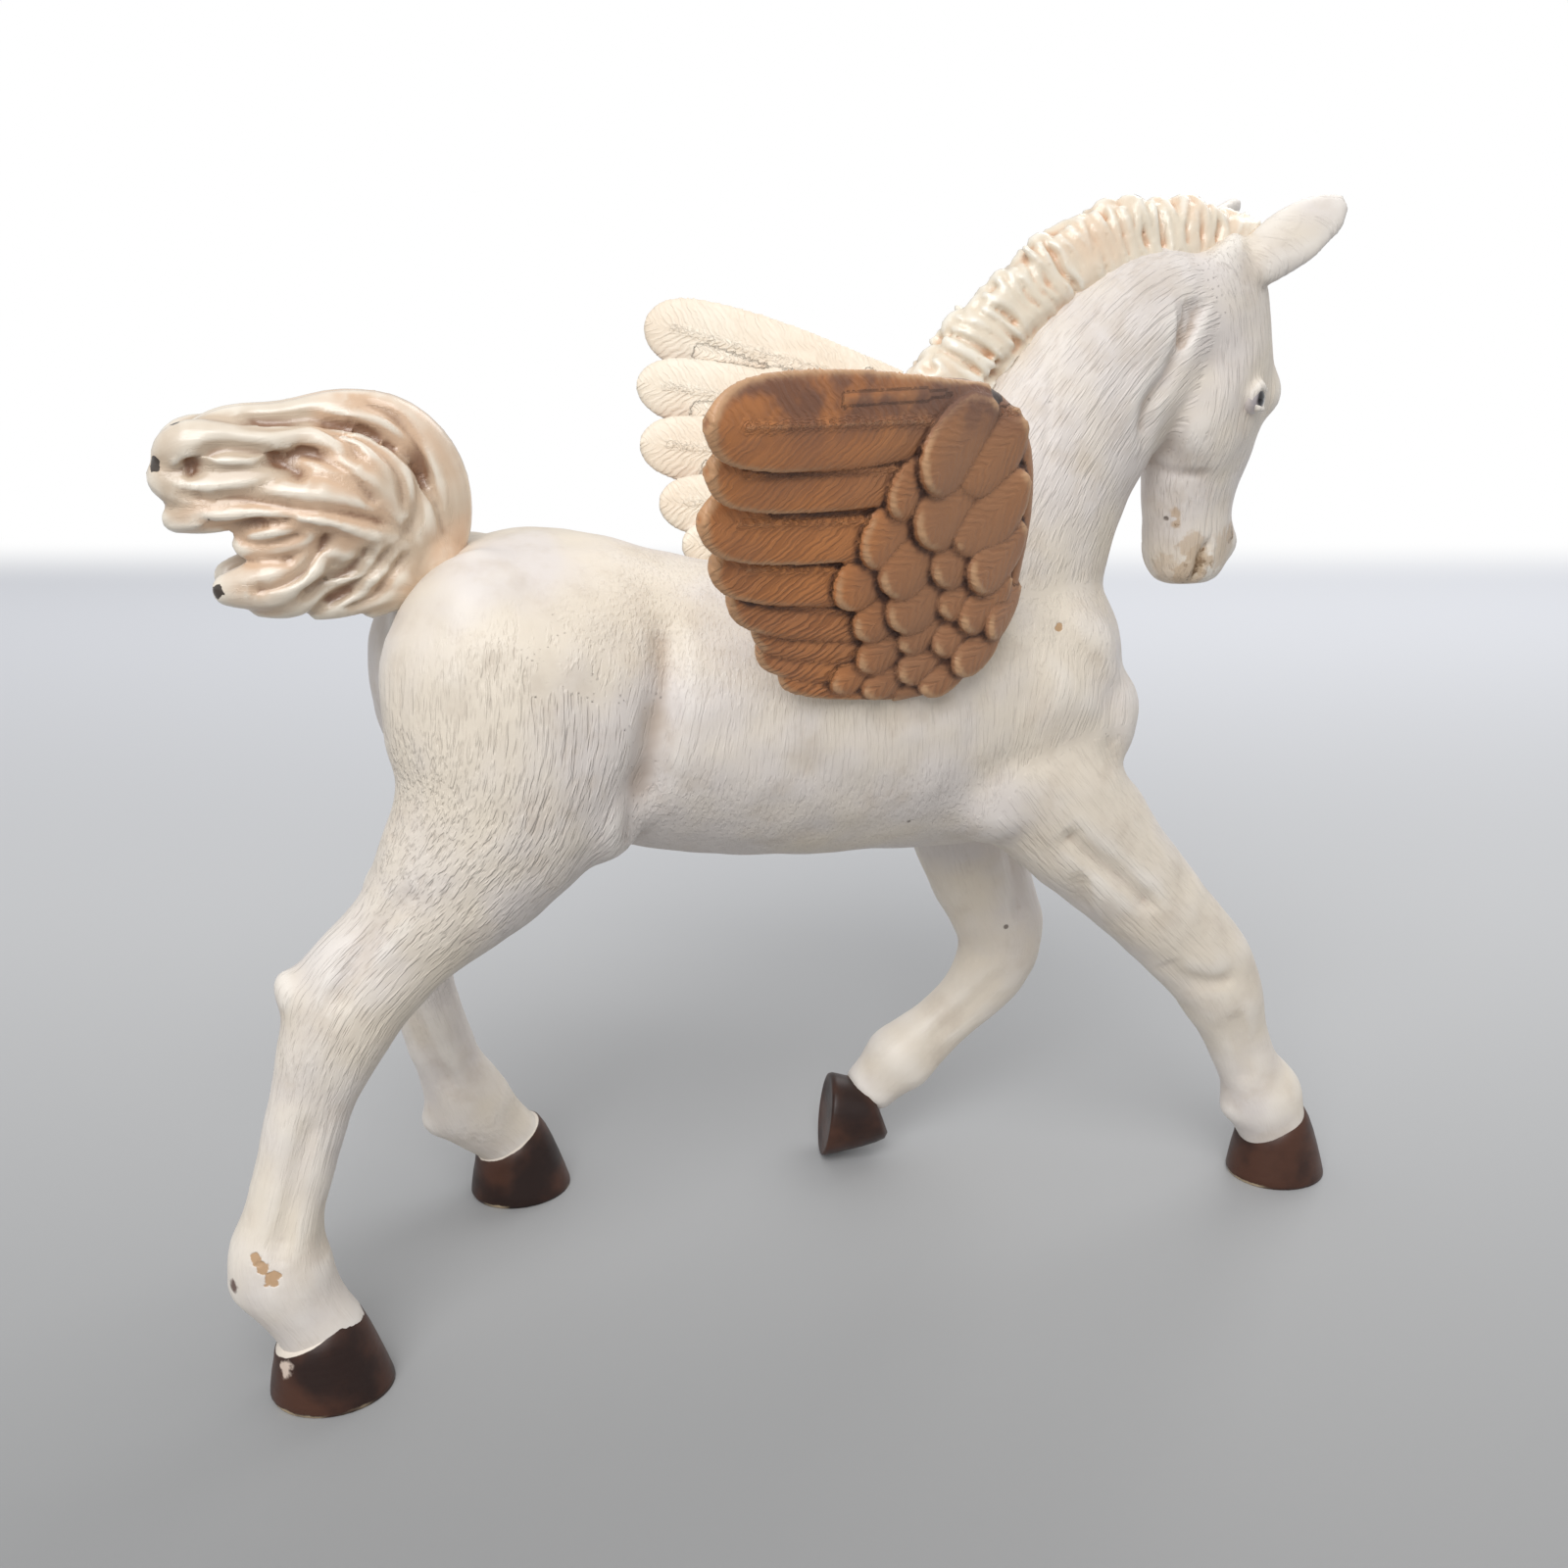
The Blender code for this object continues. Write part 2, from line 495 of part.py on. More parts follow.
NEAR_BONE = ((47.6, 56.2), (52.6, 57.2), (56.0, 61.0), (57.2, 66.0), (57.2, 71.4), (55.4, 76.0),
             (51.6, 78.8), (45.6, 79.4), (38.0, 79.4))
FAR_BONE = ((52.0, 57.0), (56.6, 58.2), (60.4, 62.0), (61.6, 67.0), (61.6, 72.4), (59.8, 76.4),
            (56.2, 78.6), (50.8, 80.2), (44.6, 82.0))
COVERTS = (
    (49.6, 76.1, 3.4), (53.8, 75.0, 3.1), (46.5, 73.5, 2.6), (50.2, 72.0, 3.5), (54.8, 71.0, 3.2),
    (45.3, 70.1, 2.9), (47.8, 68.0, 3.3), (51.9, 68.0, 2.9), (55.8, 67.2, 2.7), (43.6, 66.6, 2.7),
    (48.9, 64.6, 3.0), (52.9, 64.8, 2.6), (45.6, 63.4, 2.4), (49.4, 61.6, 2.1), (55.2, 63.2, 2.3),
    (52.6, 61.2, 2.2), (46.2, 60.2, 2.1), (49.8, 58.8, 2.0), (44.0, 58.2, 1.8), (46.8, 57.4, 1.8),
)
FLIGHT_PROFILE = ((0.0, 0.70), (0.25, 0.86), (0.5, 1.0), (0.75, 1.0), (0.9, 0.84), (0.97, 0.55),
                  (1.0, 0.2))
COVERT_PROFILE = ((0.0, 0.62), (0.2, 0.86), (0.45, 1.0), (0.7, 0.96), (0.88, 0.70), (0.97, 0.36),
                  (1.0, 0.1))


def on_face(face, side, x, z, out=0.0):
    """The point of a wing's face at x and z, moved out from it."""
    low, gap, lean, front, flare, growth = face
    y = gap + lean * (z - low) + out
    if x < front:
        y += (flare + growth * (z - low)) * (front - x)
    else:
        y -= 0.09 * (x - front) ** 2
    return Vector((x, side * y, z))


def face_out(face, side, x, z):
    """The way straight out of a wing's face."""
    along = on_face(face, side, x + 1, z) - on_face(face, side, x - 1, z)
    up = on_face(face, side, x, z + 1) - on_face(face, side, x, z - 1)
    out = along.cross(up).normalized()
    return out if out.y * side > 0 else -out


def vane(bm, face, side, feather, thickness, inset, roll):
    """A long blade on the wing's face, from its root to its rounded tip. Returns its rows."""
    root_x, root_z, tip_x, tip_z, width = feather
    rows = []
    for t, share in FLIGHT_PROFILE:
        x = root_x + (tip_x - root_x) * t
        z = root_z + (tip_z - root_z) * t
        rows.append((*on_face(face, side, x, z, -inset), 0.56 * width * share, 0.5 * thickness))
    out = face_out(face, side, (root_x + tip_x) / 2, (root_z + tip_z) / 2)
    loft(bm, rows, across=out, sides=14, steps=2, roll=-side * roll)
    return rows, out


def flight_feather(bm, face, side, feather):
    """A vane with a shaft on both sides, tilted so that its lower edge stands off the next."""
    rows, out = vane(bm, face, side, feather, FEATHER_THICKNESS, 0.0, FEATHER_LIFT)
    for way in (-1, 1):
        lift = out * (way * 0.42 * FEATHER_THICKNESS)
        shaft = [(*(Vector(row[:3]) + lift), 0.5 * FEATHER_SHAFT, 0.5 * FEATHER_SHAFT)
                 for row in rows[:-2]]
        loft(bm, shaft, across=out, sides=8, steps=2)


def covert(bm, face, side, x, z, radius):
    """A rounded scale feather whose rear lower edge stands proud."""
    out = face_out(face, side, x, z)
    lie = Vector((-0.82, 0, -0.57))
    lie = (lie - out * lie.dot(out)).normalized()
    rows = []
    for t, share in COVERT_PROFILE:
        middle = on_face(face, side, x, z, 0.1) + lie * (radius * (2.5 * t - 1.15))
        middle += out * (radius * COVERT_LIFT * t)
        rows.append((*middle, 0.98 * radius * share, 0.5 * COVERT_THICKNESS * (1.0 - 0.3 * t)))
    loft(bm, rows, across=out, sides=16, steps=2)


def add_wing(bm, face, side, flight, bone, coverts):
    inset = 0.3 * (WING_PLATE + FEATHER_THICKNESS)
    for upper, lower in zip(flight, flight[1:]):
        between = [(a + b) / 2 for a, b in zip(upper, lower)]
        between[0] += 2.4
        between[2] += 5.0
        vane(bm, face, side, between, WING_PLATE, inset, 0.0)
    for feather in flight:
        flight_feather(bm, face, side, feather)
    rows = []
    for i, (x, z) in enumerate(bone):
        half = 0.5 * WING_BONE * (1.0 - 0.06 * i)
        rows.append((*on_face(face, side, x, z, -inset), half, half))
    loft(bm, rows, across=face_out(face, side, *bone[len(bone) // 2]), sides=14)
    for x, z, radius in coverts:
        covert(bm, face, side, x, z, radius)


def add_wings(bm):
    add_wing(bm, NEAR_FACE, -1, NEAR_FLIGHT, NEAR_BONE, COVERTS)
    far_coverts = [(x + 4.6, z + 0.6, radius) for x, z, radius in COVERTS]
    add_wing(bm, FAR_FACE, 1, FAR_FLIGHT, FAR_BONE, far_coverts)


# Carved lines on the skin: side, points in x and z, width, depth
def creases():
    flank = ((30.2, 63.0), (29.6, 58.0), (28.4, 53.0), (27.4, 48.0), (26.6, 42.6))
    return (
        (-1, flank, 1.5, FLANK_CREASE),
        (1, flank, 1.5, FLANK_CREASE),
        (-1, ((79.0, 86.4), (77.8, 83.6), (76.0, 79.6), (74.0, 77.0), (74.2, 72.9)), 0.8, 0.9),
        (1, ((79.0, 84.0), (78.6, 80.0), (77.6, 76.0)), 1.0, 0.8),
        (-1, ((9.6, 43.4), (5.2, 38.6), (2.2, 33.8)), 0.9, 0.5),
        (1, ((14.6, 42.4), (11.8, 38.0), (9.4, 33.8)), 0.9, 0.5),
        (-1, ((0.6, 26.0), (-1.2, 20.0), (-2.9, 13.8)), 0.7, 0.35),
        (-1, ((71.8, 44.0), (75.8, 37.8), (80.2, 31.4)), 1.0, 0.45),
        (-1, ((62.4, 60.0), (66.0, 56.6), (69.6, 52.0), (70.6, 46.4)), 1.5, 0.5),
        (1, ((62.4, 60.0), (66.0, 56.6), (69.6, 52.0), (70.6, 46.4)), 1.5, 0.5),
    )


def carve(mesh, side, points, width, depth):
    """Presses a groove into the skin on one side, along a line seen from that side."""
    count = len(mesh.vertices)
    places = np.empty(count * 3)
    normals = np.empty(count * 3)
    mesh.vertices.foreach_get("co", places)
    mesh.vertices.foreach_get("normal", normals)
    places = places.reshape(-1, 3)
    normals = normals.reshape(-1, 3)
    line = smooth_rows(points, 10) * MM
    gap = np.linalg.norm(places[:, None, [0, 2]] - line[None], axis=2)
    nearest = gap.min(axis=1)
    along = gap.argmin(axis=1) / (len(line) - 1)
    fade = np.clip(np.sin(np.pi * np.clip(along, 0.02, 0.98)) * 2.5, 0, 1)
    facing = np.clip(normals[:, 1] * side * 2.0, 0, 1)
    press = depth * MM * np.exp(-(nearest / (width * MM)) ** 2) * fade * facing
    places -= normals * press[:, None]
    mesh.vertices.foreach_set("co", places.ravel())
    mesh.update()


def body_skin():
    bm = bmesh.new()
    add_trunk(bm)
    add_legs(bm)
    add_muscles(bm)
    add_wing_roots(bm)
    add_neck(bm)
    add_head(bm)
    mesh = fused(bm, BODY_VOXEL, BODY_RELAX)
    for side, points, width, depth in creases():
        carve(mesh, side, points, width, depth)
    return mesh


def thinned(mesh, triangles):
    """The skin with only as many triangles as asked for, kept where its form is fine."""
    full = bpy.data.objects.new("full_skin", mesh)
    bpy.context.scene.collection.objects.link(full)
    mesh.calc_loop_triangles()
    decimate = full.modifiers.new("Thin", "DECIMATE")
    decimate.ratio = min(1.0, triangles / len(mesh.loop_triangles))
    thin = evaluated_mesh(full)
    bpy.data.objects.remove(full, do_unlink=True)
    return thin


def stand_on_floor(bm):
    """Cuts the soles flat and moves the origin under the middle of the figurine's box."""
    cut = bmesh.ops.bisect_plane(
        bm, geom=bm.verts[:] + bm.edges[:] + bm.faces[:], dist=1e-6,
        plane_co=(0, 0, SOLE_TRIM * MM), plane_no=(0, 0, -1), clear_outer=True)
    rim = [item for item in cut["geom_cut"] if isinstance(item, bmesh.types.BMEdge)]
    bmesh.ops.triangle_fill(bm, edges=rim, use_dissolve=False, normal=(0, 0, -1))
    bmesh.ops.triangulate(bm, faces=bm.faces)
    bmesh.ops.recalc_face_normals(bm, faces=bm.faces)
    xs = [vert.co.x for vert in bm.verts]
    ys = [vert.co.y for vert in bm.verts]
    middle = Vector(((min(xs) + max(xs)) / 2, (min(ys) + max(ys)) / 2, SOLE_TRIM * MM))
    bmesh.ops.translate(bm, vec=-middle, verts=bm.verts)


def build_figurine():
    bm = bmesh.new()
    add_hooves(bm)
    add_ears(bm)
    add_eyes(bm)
    add_mane(bm)
    add_tail(bm)
    add_wings(bm)
    bm.from_mesh(body_skin())
    skin = thinned(fused(bm, SKIN_VOXEL, SKIN_RELAX), SKIN_TRIANGLES)
    bm = bmesh.new()
    bm.from_mesh(skin)
    stand_on_floor(bm)
    mesh = bpy.data.meshes.new("pegasus")
    bm.to_mesh(mesh)
    bm.free()
    mesh.shade_smooth()
    mesh.set_sharp_from_angle(angle=math.radians(60))
    mesh.materials.append(pearl_paint())
    return bpy.data.objects.new("pegasus", mesh)


def main():
    clear_scene()
    new_collection("pegasus_figurine").objects.link(build_figurine())


main()
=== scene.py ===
# %% [markdown]
# # A winged foal figurine, moulded in one piece and painted by hand
#
# The real toy is about as long as a finger. A sculptor carved the master, a steel mould copied
# it in one shot of soft plastic, and painters then laid on pearly white for the coat, cream for
# the hair, bronze for the wings and chocolate for the hooves.
#
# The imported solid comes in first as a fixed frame. Each painted area is then modelled finely as
# a piece of its own, in the same place, because separate pieces let each finish have its own
# grain. All lengths below are in millimetres until a mesh is made.

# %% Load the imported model
import math

import bmesh
import bpy
import numpy as np
from mathutils import Matrix, Vector, noise
from mathutils.bvhtree import BVHTree
from mathutils.interpolate import poly_3d_calc


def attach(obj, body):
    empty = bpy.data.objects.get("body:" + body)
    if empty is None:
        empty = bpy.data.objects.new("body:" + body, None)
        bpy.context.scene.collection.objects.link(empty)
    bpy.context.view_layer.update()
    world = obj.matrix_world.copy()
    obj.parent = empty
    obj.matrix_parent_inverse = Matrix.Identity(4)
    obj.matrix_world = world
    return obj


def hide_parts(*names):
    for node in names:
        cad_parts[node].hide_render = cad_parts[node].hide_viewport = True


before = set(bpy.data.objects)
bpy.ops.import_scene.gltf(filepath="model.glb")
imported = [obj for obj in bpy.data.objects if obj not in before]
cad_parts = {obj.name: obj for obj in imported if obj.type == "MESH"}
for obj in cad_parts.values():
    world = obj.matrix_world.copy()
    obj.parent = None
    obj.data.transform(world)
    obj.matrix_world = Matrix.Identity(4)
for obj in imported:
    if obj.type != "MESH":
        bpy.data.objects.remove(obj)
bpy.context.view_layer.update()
bpy.context.scene.view_settings.view_transform = "Standard"

# %% [markdown]
# The sculpture is laid out in a stance frame: X is 0 over the near hind hoof, Y is 0 on the
# middle plane and the floor is at 0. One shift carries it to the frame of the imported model. The
# pose reads best in that stance frame, since a leg's bend can be compared with the floor.

# %% Units and the stance frame
MM = 0.001
TO_FRAME = Vector((-45.83, 1.744, -0.2))
SOLE_LEVEL = 0.2

# %% [markdown]
# ## The camera
#
# A phone held low and close took the picture, so near hooves look large. The camera stands where
# it stood: turned 18 degrees and tipped 17 degrees down, with a 36 mm lens on a 36 mm sensor.
# Getting the distance right matters more than the lens, because distance alone sets perspective.

# %% Camera
CAMERA_PLACE = Vector((1.6, -126.7, 85.36))
camera_turn, camera_tip = math.radians(18.0), math.radians(17.0)


def add_object(name, data):
    """Puts a mesh, camera or lamp into the scene under a name."""
    obj = bpy.data.objects.new(name, data)
    bpy.context.scene.collection.objects.link(obj)
    return obj


camera_data = bpy.data.cameras.new("camera")
camera_data.lens = 36.0
camera_data.sensor_width = 36.0
camera_data.clip_start = 0.005
camera = add_object("camera", camera_data)
sight = Vector((math.sin(camera_turn) * math.cos(camera_tip),
                math.cos(camera_turn) * math.cos(camera_tip), -math.sin(camera_tip)))
camera.location = (CAMERA_PLACE + TO_FRAME) * MM
camera.rotation_euler = sight.to_track_quat("-Z", "Y").to_euler()
bpy.context.scene.camera = camera
print("camera at", [round(value, 4) for value in camera.location])

# %% [markdown]
# ## Writing shaders as sums
#
# A material is a graph of nodes, which is slow to read as a list of links. A small class wraps a
# socket so that `1 - mask` adds a Math node. A second class holds one material and adds any node
# by its type, settings and inputs.

# %% Shader helpers
class Wire:
    """A node's output that can be used in sums."""

    def __init__(self, paint, socket):
        self.paint = paint
        self.socket = socket

    def maths(self, operation, first, second):
        return self.paint.node("Math", {"operation": operation}, {0: first, 1: second})

    def __add__(self, other):
        return self.maths("ADD", self, other)

    def __sub__(self, other):
        return self.maths("SUBTRACT", self, other)

    def __rsub__(self, other):
        return self.maths("SUBTRACT", other, self)

    def __mul__(self, other):
        return self.maths("MULTIPLY", self, other)

    __radd__ = __add__
    __rmul__ = __mul__


class Paint:
    """One material: constants on its shader, and nodes for what changes over the surface."""

    def __init__(self, name, **constants):
        self.material = bpy.data.materials.new(name)
        self.material.use_nodes = True
        self.tree = self.material.node_tree
        self.shader = self.tree.nodes["Principled BSDF"]
        for name, value in constants.items():
            self.shader.inputs[name.replace("_", " ")].default_value = value
        self.place = self.node("TexCoord", output="Object")
        self.colour = None

    def node(self, kind, settings=None, inputs=None, output=0):
        made = self.tree.nodes.new("ShaderNode" + kind)
        for name, value in (settings or {}).items():
            setattr(made, name, value)
        for name, value in (inputs or {}).items():
            self.feed(made.inputs[name], value)
        return Wire(self, made.outputs[output])

    def feed(self, socket, value):
        if isinstance(value, Wire):
            self.tree.links.new(value.socket, socket)
        else:
            socket.default_value = value

    def stored(self, name, output="Fac"):
        return self.node("Attribute", {"attribute_name": name}, output=output)

    def axis(self, vector, index):
        return self.node("SeparateXYZ", None, {0: vector}, output=index)

    def scaled(self, place, scale):
        return self.node("Mapping", None, {"Vector": place, "Scale": scale})

    def cloud(self, place, scale, detail=2.0, roughness=0.5):
        return self.node("TexNoise", None, {"Vector": place, "Scale": scale, "Detail": detail,
                                            "Roughness": roughness})

    def ramp(self, value, low, high):
        """0 below low, 1 above high and smooth between; high may be the lower number."""
        return self.node("MapRange", {"interpolation_type": "SMOOTHSTEP"},
                         {"Value": value, "From Min": low, "From Max": high})

    def mix(self, share, first, second):
        return self.node("Mix", {"data_type": "RGBA"}, {0: share, 6: first, 7: second}, output=2)

    def cover(self, share, colour):
        """Lays a colour over the one so far, by a mask."""
        self.colour = self.mix(share, self.colour, (*colour, 1))

    def spot(self, centre, radius, ragged):
        """A ragged round mask about a point of the stance frame."""
        middle = (Vector(centre) + TO_FRAME) * MM
        gap = self.node("VectorMath", {"operation": "DISTANCE"}, {0: self.place, 1: middle},
                        output="Value")
        edge = gap * (1.0 / (radius * MM)) + (self.cloud(self.place, 1400.0) - 0.5) * (2 * ragged)
        return self.ramp(edge, 1.0, 0.6)

    def spots(self, places, ragged):
        """The sum of spots, each given by its centre and radius."""
        return sum(self.spot(centre, radius, ragged) for centre, radius in places)

    def finish(self, roughness, height, depth):
        self.feed(self.shader.inputs["Base Color"], self.colour)
        self.feed(self.shader.inputs["Roughness"], roughness)
        bump = self.node("Bump", None, {"Height": height, "Distance": depth * MM, "Strength": 1.0})
        self.feed(self.shader.inputs["Normal"], bump)


print("shader helpers ready")

# %% [markdown]
# ## Forms that remember their flow
#
# Hair and feathers have a direction, and a remeshed surface forgets it. So every form here is a
# loft: rings from create_circle, bridged along a smooth line. Each ring writes down how far along
# the form it lies and how far across each of its points stands. After the forms are fused, the
# nearest point of the nearest loft gives those numbers back.

# %% Lofts and ellipsoids
def smooth_rows(rows, steps):
    """Rows of numbers with a Catmull-Rom curve laid through them."""
    rows = np.array(rows, float)
    ends = np.vstack([2 * rows[0] - rows[1], rows, 2 * rows[-1] - rows[-2]])
    out = []
    for a, b, c, d in zip(ends, ends[1:], ends[2:], ends[3:]):
        for t in np.arange(steps) / steps:
            out.append(0.5 * (2 * b + (c - a) * t + (2 * a - 5 * b + 4 * c - d) * t ** 2
                              + (3 * b - a - 3 * c + d) * t ** 3))
    out.append(rows[-1])
    return np.array(out)


class Clay:
    """Closed forms kept together in one bmesh, with their flow."""

    def __init__(self):
        self.bm = bmesh.new()
        self.flow = self.bm.verts.layers.float_vector.new("flow")
        self.form = self.bm.faces.layers.int.new("form")
        self.grain = [0.0]

    def ring(self, place, deep, wide, sides, along, turned=False):
        size = Matrix.Diagonal((deep * MM, wide * MM, MM, 1.0))
        seat = place.copy()
        seat.translation = place.translation * MM
        made = bmesh.ops.create_circle(self.bm, segments=sides, radius=1.0, matrix=seat @ size)
        back = seat.inverted()
        for vert in made["verts"]:
            local = back @ vert.co / MM
            vert[self.flow] = (local.x, along, local.y) if turned else (along, local.x, local.y)
        return list({edge for vert in made["verts"] for edge in vert.link_edges})

    def loft(self, rows, across=(0, 1, 0), sides=20, steps=3, roll=0.0, grain=1.0, turned=False):
        """A closed skin over elliptical rings. A row is x, y, z, half depth and half width."""
        across = Vector(across)
        rows = smooth_rows(rows, steps)
        centres = [Vector(row[:3]) for row in rows]
        last = len(rows) - 1
        along = 0.0
        rings = []
        for i, row in enumerate(rows):
            tangent = (centres[min(i + 1, last)] - centres[max(i - 1, 0)]).normalized()
            wide = (across - tangent * across.dot(tangent)).normalized()
            place = Matrix((wide.cross(tangent), wide, tangent)).transposed().to_4x4()
            place.translation = centres[i]
            place = place @ Matrix.Rotation(roll, 4, "Z")
            if i:
                along += (centres[i] - centres[i - 1]).length
            size = max(row[3], 0.05), max(row[4], 0.05)
            rings.append(self.ring(place, *size, sides, along, turned))
        self.close(rings, grain)

    def close(self, rings, grain=1.0):
        """Bridges the rings, caps both ends and numbers the form's faces."""
        self.grain.append(grain)
        faces = []
        for lower, upper in zip(rings, rings[1:]):
            faces += bmesh.ops.bridge_loops(self.bm, edges=lower + upper)["faces"]
        for end in (rings[0], rings[-1]):
            faces += bmesh.ops.contextual_create(self.bm, geom=end)["faces"]
        for face in faces:
            face[self.form] = len(self.grain) - 1

    def blob(self, centre, radii, turn=(0, 0, 0)):
        """An ellipsoid, turned by three angles in degrees. It has no flow of its own."""
        place = Matrix.Translation(Vector(centre) * MM)
        for axis, angle in zip("XYZ", turn):
            place = place @ Matrix.Rotation(math.radians(angle), 4, axis)
        size = Matrix.Diagonal((radii[0] * MM, radii[1] * MM, radii[2] * MM, 1.0))
        bmesh.ops.create_uvsphere(self.bm, u_segments=20, v_segments=12, radius=1.0,
                                  matrix=place @ size)


print("clay ready")

# %% [markdown]
# ## Fusing, washes and hollows
#
# A voxel remesh melts the forms into one skin, as the carved master was one. Two things are then
# measured on the skin. The hollow value says how deep a point lies below its smoothed
# surroundings, which is where a thinned wash of paint gathers. The seam value is low where one
# form meets the next.

# %% Fusing forms into one skin
def mesh_from(bm, name):
    mesh = bpy.data.meshes.new(name)
    bm.to_mesh(mesh)
    return mesh


def remeshed(bm, voxel, relax):
    """One skin over all the closed shells in bm, relaxed by a few smoothing steps."""
    bmesh.ops.recalc_face_normals(bm, faces=bm.faces)
    obj = add_object("shells", mesh_from(bm, "shells"))
    fuse = obj.modifiers.new("Fuse", "REMESH")
    fuse.mode = "VOXEL"
    fuse.voxel_size = voxel * MM
    soften = obj.modifiers.new("Soften", "SMOOTH")
    soften.factor = 0.5
    soften.iterations = relax
    graph = bpy.context.evaluated_depsgraph_get()
    graph.update()
    mesh = bpy.data.meshes.new_from_object(obj.evaluated_get(graph))
    bpy.data.objects.remove(obj, do_unlink=True)
    return mesh


def read_points(mesh, what="co"):
    values = np.empty(len(mesh.vertices) * 3)
    mesh.vertices.foreach_get(what, values)
    return values.reshape(-1, 3)


def write_points(mesh, places):
    mesh.vertices.foreach_set("co", places.ravel())
    mesh.update()


def read_edges(mesh):
    """The two vertex numbers of each edge."""
    edges = np.empty(len(mesh.edges) * 2, np.int64)
    mesh.edges.foreach_get("vertices", edges)
    return edges.reshape(-1, 2)


def neighbour_mean(mesh, values, steps):
    """Each vertex takes the mean of its neighbours, steps times over."""
    edges = read_edges(mesh)
    ends = np.concatenate([edges[:, 0], edges[:, 1]])
    others = np.concatenate([edges[:, 1], edges[:, 0]])
    count = np.maximum(np.bincount(ends, minlength=len(values)), 1)
    out = np.array(values, float)
    for _ in range(steps):
        columns = [np.bincount(ends, out[others, i], len(out)) / count for i in range(out.shape[1])]
        out = np.stack(columns, axis=1)
    return out


def write_attribute(mesh, name, values):
    kind = "FLOAT_VECTOR" if values.ndim == 2 else "FLOAT"
    field = "vector" if values.ndim == 2 else "value"
    attribute = mesh.attributes.new(name, kind, "POINT")
    attribute.data.foreach_set(field, values.astype(np.float32).ravel())


def hollow_values(mesh, steps):
    """How far each vertex lies below its smoothed surroundings, in mm."""
    places = read_points(mesh)
    lifted = neighbour_mean(mesh, places, steps) - places
    return (lifted * read_points(mesh, "normal")).sum(axis=1) / MM


def flow_values(mesh, clay):
    """The flow and the number of the nearest loft, for each vertex."""
    bm = clay.bm
    bm.verts.index_update()
    faces = [face for face in bm.faces if face[clay.form]]
    corners = [[vert.index for vert in face.verts] for face in faces]
    tree = BVHTree.FromPolygons([vert.co for vert in bm.verts], corners)
    flow = np.zeros((len(mesh.vertices), 3))
    owner = np.zeros(len(mesh.vertices), int)
    for i, vert in enumerate(mesh.vertices):
        point, _, index, _ = tree.find_nearest(vert.co)
        face = faces[index]
        weights = poly_3d_calc([corner.co for corner in face.verts], point)
        for corner, weight in zip(face.verts, weights):
            flow[i] += np.array(corner[clay.flow]) * weight
        owner[i] = face[clay.form]
    return flow, owner


def seam_values(mesh, owner, steps):
    """1 inside a form and towards 0 where two forms meet."""
    pairs = read_edges(mesh)
    crossing = pairs[owner[pairs[:, 0]] != owner[pairs[:, 1]]]
    clear = np.ones((len(mesh.vertices), 1))
    clear[crossing.ravel()] = 0.0
    clear = neighbour_mean(mesh, clear, steps)
    clear[crossing.ravel()] = 0.0
    return clear[:, 0]


def settle(mesh, clay, hollow_steps, seam_steps):
    """Stores flow, hollow and seam on the skin, for its paint to read."""
    flow, owner = flow_values(mesh, clay)
    write_attribute(mesh, "flow", flow)
    write_attribute(mesh, "hollow", hollow_values(mesh, hollow_steps))
    write_attribute(mesh, "seam", seam_values(mesh, owner, seam_steps))
    grain = neighbour_mean(mesh, np.array(clay.grain)[owner][:, None], seam_steps)
    write_attribute(mesh, "grain", grain[:, 0])


def show_piece(name, mesh, paint):
    """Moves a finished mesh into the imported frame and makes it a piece."""
    mesh.transform(Matrix.Translation(TO_FRAME * MM))
    mesh.shade_smooth()
    mesh.materials.clear()
    mesh.materials.append(paint.material)
    obj = add_object(name, mesh)
    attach(obj, "root")
    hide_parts("pegasus")
    mesh.calc_loop_triangles()
    print(name, len(mesh.loop_triangles), "triangles")


print("fusing helpers ready")

# %% [markdown]
# ## Trunk and legs
#
# The trunk and each leg are lofts through stations read off the figurine's outline. A foal has
# long thin cannons between thick joints, so each leg's sizes follow its anatomy: thigh, gaskin,
# hock, cannon, fetlock and pastern.

# %% Trunk and legs
TRUNK = (
    (10, 54, 61, 4.7), (12, 50, 65.2, 9.1), (16, 47, 67.7, 13), (21.5, 44.3, 68.4, 13.5),
    (27, 41.9, 66.9, 11.9), (33, 40.2, 65.3, 12.2), (40, 39, 64.5, 12.7), (47, 38.4, 64.9, 12.7),
    (54, 37.9, 66.5, 12.2), (60, 37.6, 67.5, 11.2), (65, 37.8, 65.5, 10.8), (69.4, 39.6, 61.5, 9),
    (71.8, 42.6, 57, 6.1), (73.2, 46, 53, 3.5))
HIND_SIZES = (
    (6, 3.6), (10.4, 6.9), (10.8, 7.6), (8.8, 6.9), (6.9, 5.4), (4.9, 4.1), (4.9, 3.9), (4.4, 3.7),
    (3.6, 3.1), (3.25, 2.75), (3.25, 2.7), (3.9, 3.25), (4.25, 3.45), (3.7, 3.25), (3.4, 3.1),
    (3.5, 3.25))
NEAR_HIND = (
    (20, -5.2, 65), (19.2, -6, 60), (18.6, -6.6, 53.5), (16.6, -7.5, 47), (12.8, -8.4, 42.2),
    (8.6, -9, 38), (4.7, -9.4, 34.3), (2.6, -9.8, 30.9), (1.1, -10.1, 27.3), (-0.2, -10.4, 23.5),
    (-2.3, -10.8, 16.8), (-3.1, -11, 13.6), (-2.9, -11.1, 11.4), (-2.1, -11.2, 9.2), (-1, -11.3, 7),
    (0.2, -11.3, 4.6))
